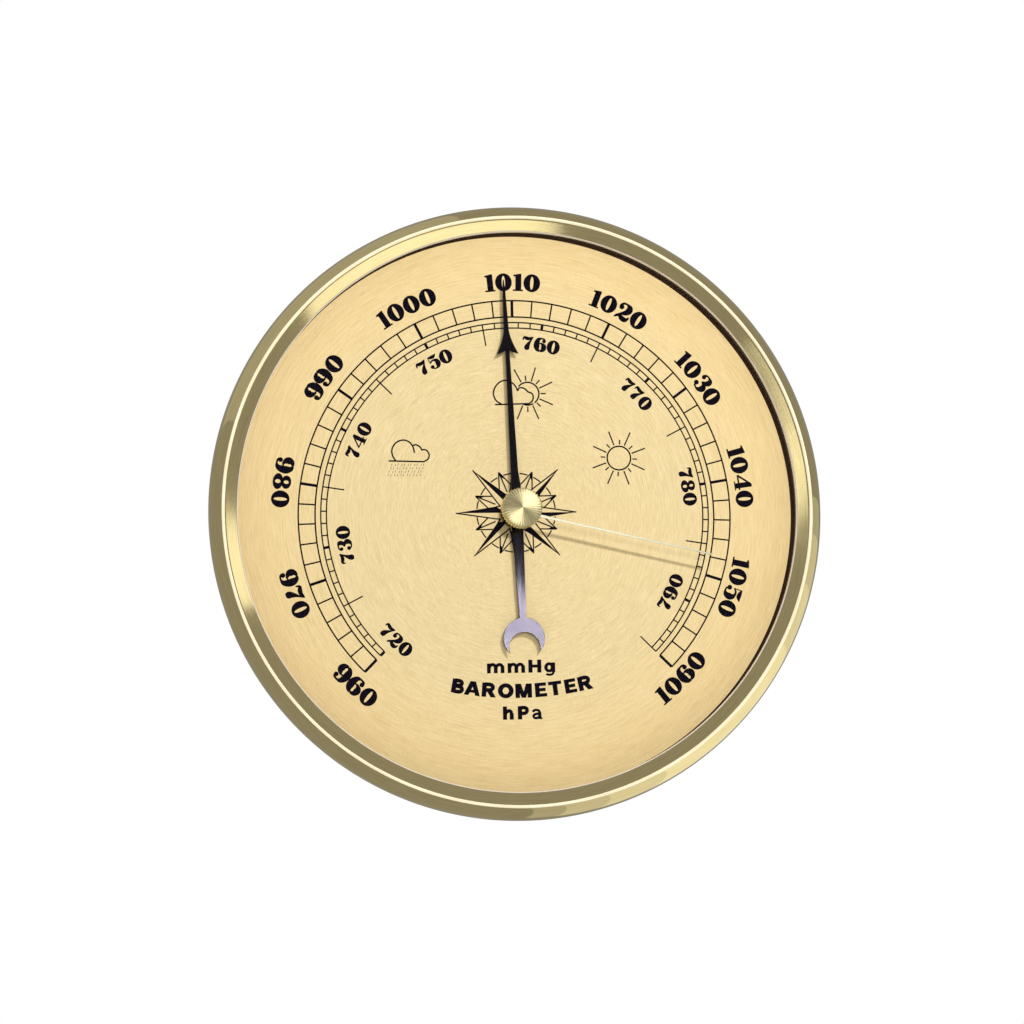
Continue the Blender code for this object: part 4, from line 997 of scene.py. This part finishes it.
def add_knob(looks):
    """The fluted knob: scallops with sharp valleys round its side, faint radial ripples on its cone."""
    flutes, steps = 40, 400
    shape = bmesh.new()
    rings = []
    for radius, forward, depth, ripple in (
            (1.3, 36.3, 0, 0), (1.3, 34.1, 0, 0), (3.6, 34.1, 0, 0), (3.95, 34.2, 0.1, 0),
            (4.3, 34.5, 0.26, 0), (4.3, 37.25, 0.26, 0), (4.24, 37.42, 0.2, 0), (4.1, 37.55, 0.1, 0.003),
            (3.93, 37.63, 0.02, 0.005), (3.0, 37.83, 0, 0.004), (2.0, 38.05, 0, 0.003),
            (1.0, 38.27, 0, 0.0015), (0.3, 38.43, 0, 0)):
        ring = []
        for step in range(steps):
            turn = tau * step / steps
            lobe = abs(sin(flutes * turn / 2))
            reach = (radius - depth * (1 - lobe)) * MM
            height = (forward + ripple * (2 * lobe - 1)) * MM
            ring.append(shape.verts.new((reach * sin(turn), -height, reach * cos(turn))))
        rings.append(ring)
    rings.append([shape.verts.new((0, -38.5 * MM, 0))])
    rings.insert(0, [shape.verts.new((0, -36.3 * MM, 0))])
    for near, far in zip(rings, rings[1:]):
        bridge(shape, near, far)
    make("knob", shape, [looks["bright_brass"]], "set_hand", ["set_knob"], crease=45)


def cut_with(piece, cutters):
    """Cuts closed bmeshes out of a piece."""
    for cutter in cutters:
        bmesh.ops.recalc_face_normals(cutter, faces=cutter.faces)
        mesh = bpy.data.meshes.new("cutter")
        cutter.to_mesh(mesh)
        cutter.free()
        tool = add_object("cutter", mesh)
        change = piece.modifiers.new("cut", "BOOLEAN")
        change.object = tool
        change.solver = "EXACT"
        view = bpy.context.evaluated_depsgraph_get()
        result = bpy.data.meshes.new_from_object(piece.evaluated_get(view))
        piece.modifiers.clear()
        piece.data = result
        bpy.data.objects.remove(tool)
        bpy.data.meshes.remove(mesh)


def keyhole_cutter():
    """A round entry with a slot that runs up from it."""
    opening = degrees(asin(2.3 / 4.0))
    outline = arc((0, 44), (4, 4), 90 + opening, 450 - opening, 40) + arc((0, 50), (2.3, 2.3), 0, 180, 20)
    shape = bmesh.new()
    rear = [shape.verts.new((x * MM, 2 * MM, z * MM)) for x, z in outline]
    fore = [shape.verts.new((x * MM, -3 * MM, z * MM)) for x, z in outline]
    shape.faces.new(rear)
    shape.faces.new(fore)
    bridge(shape, rear, fore)
    return shape


def round_cutter(centre, radius):
    return turned([(0, -2), (radius, -2), (radius, 3), (0, 3)], 48, centre)


def add_rear_case(looks):
    """The drawn cup with its flange, keyhole, adjusting hole and three screw holes."""
    outside = [(0, 0)] + arc((59, 2), (2, 2), -90, 0, 10)
    outside += [(61, 23.8), (61.15, 24.05), (61.4, 24.1), (64.2, 24.1), (64.3, 24.2), (64.3, 24.8)]
    outside += [(64.2, 24.9)]
    inside = [(60.5, 24.9), (60.2, 24.6)] + arc((59, 2), (1.2, 1.2), 0, -90, 8) + [(0, 0.8)]
    shape = turned(outside + inside)
    piece = make("rear_cup", shape, [looks["case_steel"]], "case", ["rear_case"])
    screws = [round_cutter(place, 2.6) for place in ((22, 4), (8, -46), (-46, 0))]
    cut_with(piece, screws + [round_cutter((-28, 8), 3.3), keyhole_cutter()])
    piece.data.shade_smooth()
    piece.data.set_sharp_from_angle(angle=radians(30))


# -------- stage, camera, light


def facing(right, up, back, place):
    """The matrix of an object that looks away from back, at a place."""
    return Matrix((
        (right.x, up.x, back.x, place.x),
        (right.y, up.y, back.y, place.y),
        (right.z, up.z, back.z, place.z),
        (0, 0, 0, 1),
    ))


def camera():
    """A long lens a little to the left of the dial's axis and a little below it."""
    back = Vector((sin(VIEW_AZIMUTH) * cos(VIEW_ELEVATION), -cos(VIEW_AZIMUTH) * cos(VIEW_ELEVATION),
                   sin(VIEW_ELEVATION)))
    level = Vector((cos(VIEW_AZIMUTH), sin(VIEW_AZIMUTH), 0.0))
    upright = back.cross(level)
    right = level * cos(VIEW_ROLL) - upright * sin(VIEW_ROLL)
    up = upright * cos(VIEW_ROLL) + level * sin(VIEW_ROLL)
    place = VIEW_AIM + back * VIEW_DISTANCE
    data = bpy.data.cameras.new("camera")
    data.lens = LENS
    data.sensor_width = 36.0
    data.clip_start = 0.01
    view = add_object("camera", data)
    view.matrix_world = facing(right, up, back, place)
    bpy.context.scene.camera = view
    return view


def heading(clock, away):
    """Unit vector from the dial that leans away from straight ahead, towards a clock angle."""
    lean, turn = radians(away), radians(clock)
    return Vector((sin(lean) * sin(turn), -cos(lean), sin(lean) * cos(turn)))


def soft_light(name, origin, direction, distance, width, height, radiance, seen_by, upright=AHEAD):
    """A rectangle of light that faces origin, its height in the plane of its direction and upright.
    The camera doesn't see it; seen_by says whether matt surfaces or mirrors do."""
    data = bpy.data.lights.new(name, "AREA")
    data.shape = "RECTANGLE"
    data.size = width
    data.size_y = height
    data.energy = radiance * width * height * pi
    lamp = add_object(name, data)
    across = direction.cross(upright).normalized()
    outward = direction.cross(across)
    place = Vector(origin) + direction * distance
    lamp.matrix_world = facing(across, outward, direction, place)
    lamp.visible_camera = False
    lamp.visible_diffuse = seen_by != "mirrors"
    lamp.visible_glossy = seen_by != "matt"
    return lamp


def mirror_direction(place, normal, eye):
    """Where the eye looks by way of a mirror at a place."""
    ray = (eye - place).normalized()
    return (2 * normal.dot(ray) * normal - ray).normalized()


def piece_group(name, pieces):
    """A collection of pieces, for a lamp to name."""
    group = bpy.data.collections.new(name)
    for piece in pieces:
        group.objects.link(bpy.data.objects[piece])
    return group


def shade_only(lamp, pieces):
    """Only these pieces throw shadows from the lamp."""
    lamp.light_linking.blocker_collection = piece_group(lamp.name + "_blockers", pieces)


def light_only(lamp, pieces):
    """The lamp lights these pieces and no others."""
    lamp.light_linking.receiver_collection = piece_group(lamp.name + "_receivers", pieces)


def plate_glint(name, piece, place, eye, width, height, radiance):
    """A far light that a flat piece mirrors to the camera round a place."""
    direction = mirror_direction(place, AHEAD, eye)
    light_only(soft_light(name, place, direction, FAR, width, height, radiance, "mirrors", UP), [piece])


def bezel_glint(name, clock, eye, width, radiance):
    """A far light where the bezel's sloping face mirrors it to the camera at a clock angle in degrees."""
    outward = heading(clock, 90)
    place = outward * BEZEL_FACE[0] * MM + AHEAD * BEZEL_FACE[1] * MM
    normal = AHEAD * cos(BEZEL_SLOPE) - outward * sin(BEZEL_SLOPE)
    direction = mirror_direction(place, normal, eye)
    light_only(soft_light(name, place, direction, FAR, width, 0.9, radiance, "mirrors"), ["bezel_ring"])


def lights(eye):
    """A key and a front light on matt surfaces, and lights that only polished pieces mirror."""
    centre = Vector((0.0, -0.03, 0.0))
    hands = ["pointer_blade", "set_hand_blade"]
    key = soft_light("key", centre, heading(30, 41), 0.9, 0.055, 0.055, 690.0, "matt")
    key.data.color = (1.0, 1.0, 1.07)
    shade_only(key, hands)
    front = soft_light("front", centre, heading(12, 14), 2.2, 0.6, 0.6, 13.0, "matt")
    front.data.color = (1.0, 0.95, 0.85)
    shade_only(front, hands + ["knob"])

    # the two bright fans on the knob's cone
    light_only(soft_light("upper_right", centre, heading(46, 33), 1.3, 0.95, 0.8, 2.2, "mirrors"), ["knob"])
    light_only(soft_light("lower_left", centre, heading(203, 17), 1.3, 0.6, 0.6, 2.3, "mirrors"), ["knob"])

    # the bezel's outer side: four lights, each behind and wider than the last, brightest where all overlap
    for step in range(4):
        distance = 0.4 + 0.02 * step
        width = 0.24 + 0.22 * step
        side = soft_light("low_right", centre, heading(128, 90), distance, width, 0.9, 0.17, "mirrors")
        light_only(side, ["bezel_ring"])
    side = soft_light("upper_left", centre, heading(325, 90), 0.5, 0.6, 0.9, 0.12, "mirrors")
    light_only(side, ["bezel_ring"])

    # the bezel's sloping face
    bezel_glint("glint_upper_left", 339, eye, 0.72, 0.88)
    bezel_glint("glint_left", 260, eye, 0.30, 0.85)
    bezel_glint("glint_right", 82, eye, 0.19, 0.88)

    # the pointer's tail, and the first 12 mm or so of the set hand
    plate_glint("glint_tail", "pointer_blade", TAIL_GLINT, eye, 0.4, 0.22, 24.0)
    x, z = on_dial(SET_GLINT_RADIUS, hpa_clock(SET_READING))
    root = Vector((x * MM, -SET_HAND_FACE * MM, z * MM))
    plate_glint("glint_set_hand", "set_hand_blade", root, eye, 0.6, 0.4, 1.2)


def stage():
    """White surroundings for the camera, dim grey ones for the light, and a pale floor well below.
    Polished pieces don't mirror the floor."""
    world = bpy.data.worlds.new("studio")
    bpy.context.scene.world = world
    world.use_nodes = True
    tree = world.node_tree
    tree.nodes.clear()
    seen = add_node(tree, "Background", Color=(1.0, 1.0, 1.0, 1.0)).outputs[0]
    dim = add_node(tree, "Background", Color=(0.28, 0.275, 0.275, 1.0)).outputs[0]
    camera_ray = add_node(tree, "LightPath").outputs["Is Camera Ray"]
    mix = add_node(tree, "MixShader", in0=camera_ray, in1=dim, in2=seen).outputs[0]
    add_node(tree, "OutputWorld", Surface=mix)

    floor_shape = bmesh.new()
    bmesh.ops.create_grid(floor_shape, x_segments=8, y_segments=8, size=0.9)
    mesh = bpy.data.meshes.new("floor")
    floor_shape.to_mesh(mesh)
    floor_shape.free()
    floor = add_object("floor", mesh)
    floor.location = (0.0, 0.0, -0.3)
    floor.visible_glossy = False
    look = Look("floor")
    grain = look.noise(look.place(), 40.0)
    colour = look.ramp(grain, [(0.3, (0.82, 0.82, 0.82)), (0.7, (0.85, 0.85, 0.85))])
    mesh.materials.append(look.surface(Base_Color=colour, Roughness=0.9))
    bpy.context.scene.view_settings.view_transform = "Standard"


def dress_cad(looks):
    """Every CAD piece that is still shown takes the material of its slot in the record."""
    for part in frame["record"]["subparts"]:
        node = frame["nodes"].get(part["node"])
        if node is not None:
            node.data.materials.clear()
            node.data.materials.append(looks[part["material_slot"]])


looks = finishes()
dress_cad(looks)
add_bezel(looks)
add_front_stack(looks)
add_print()
add_hands(looks)
add_knob(looks)
add_rear_case(looks)
stage()
view = camera()
lights(view.location)
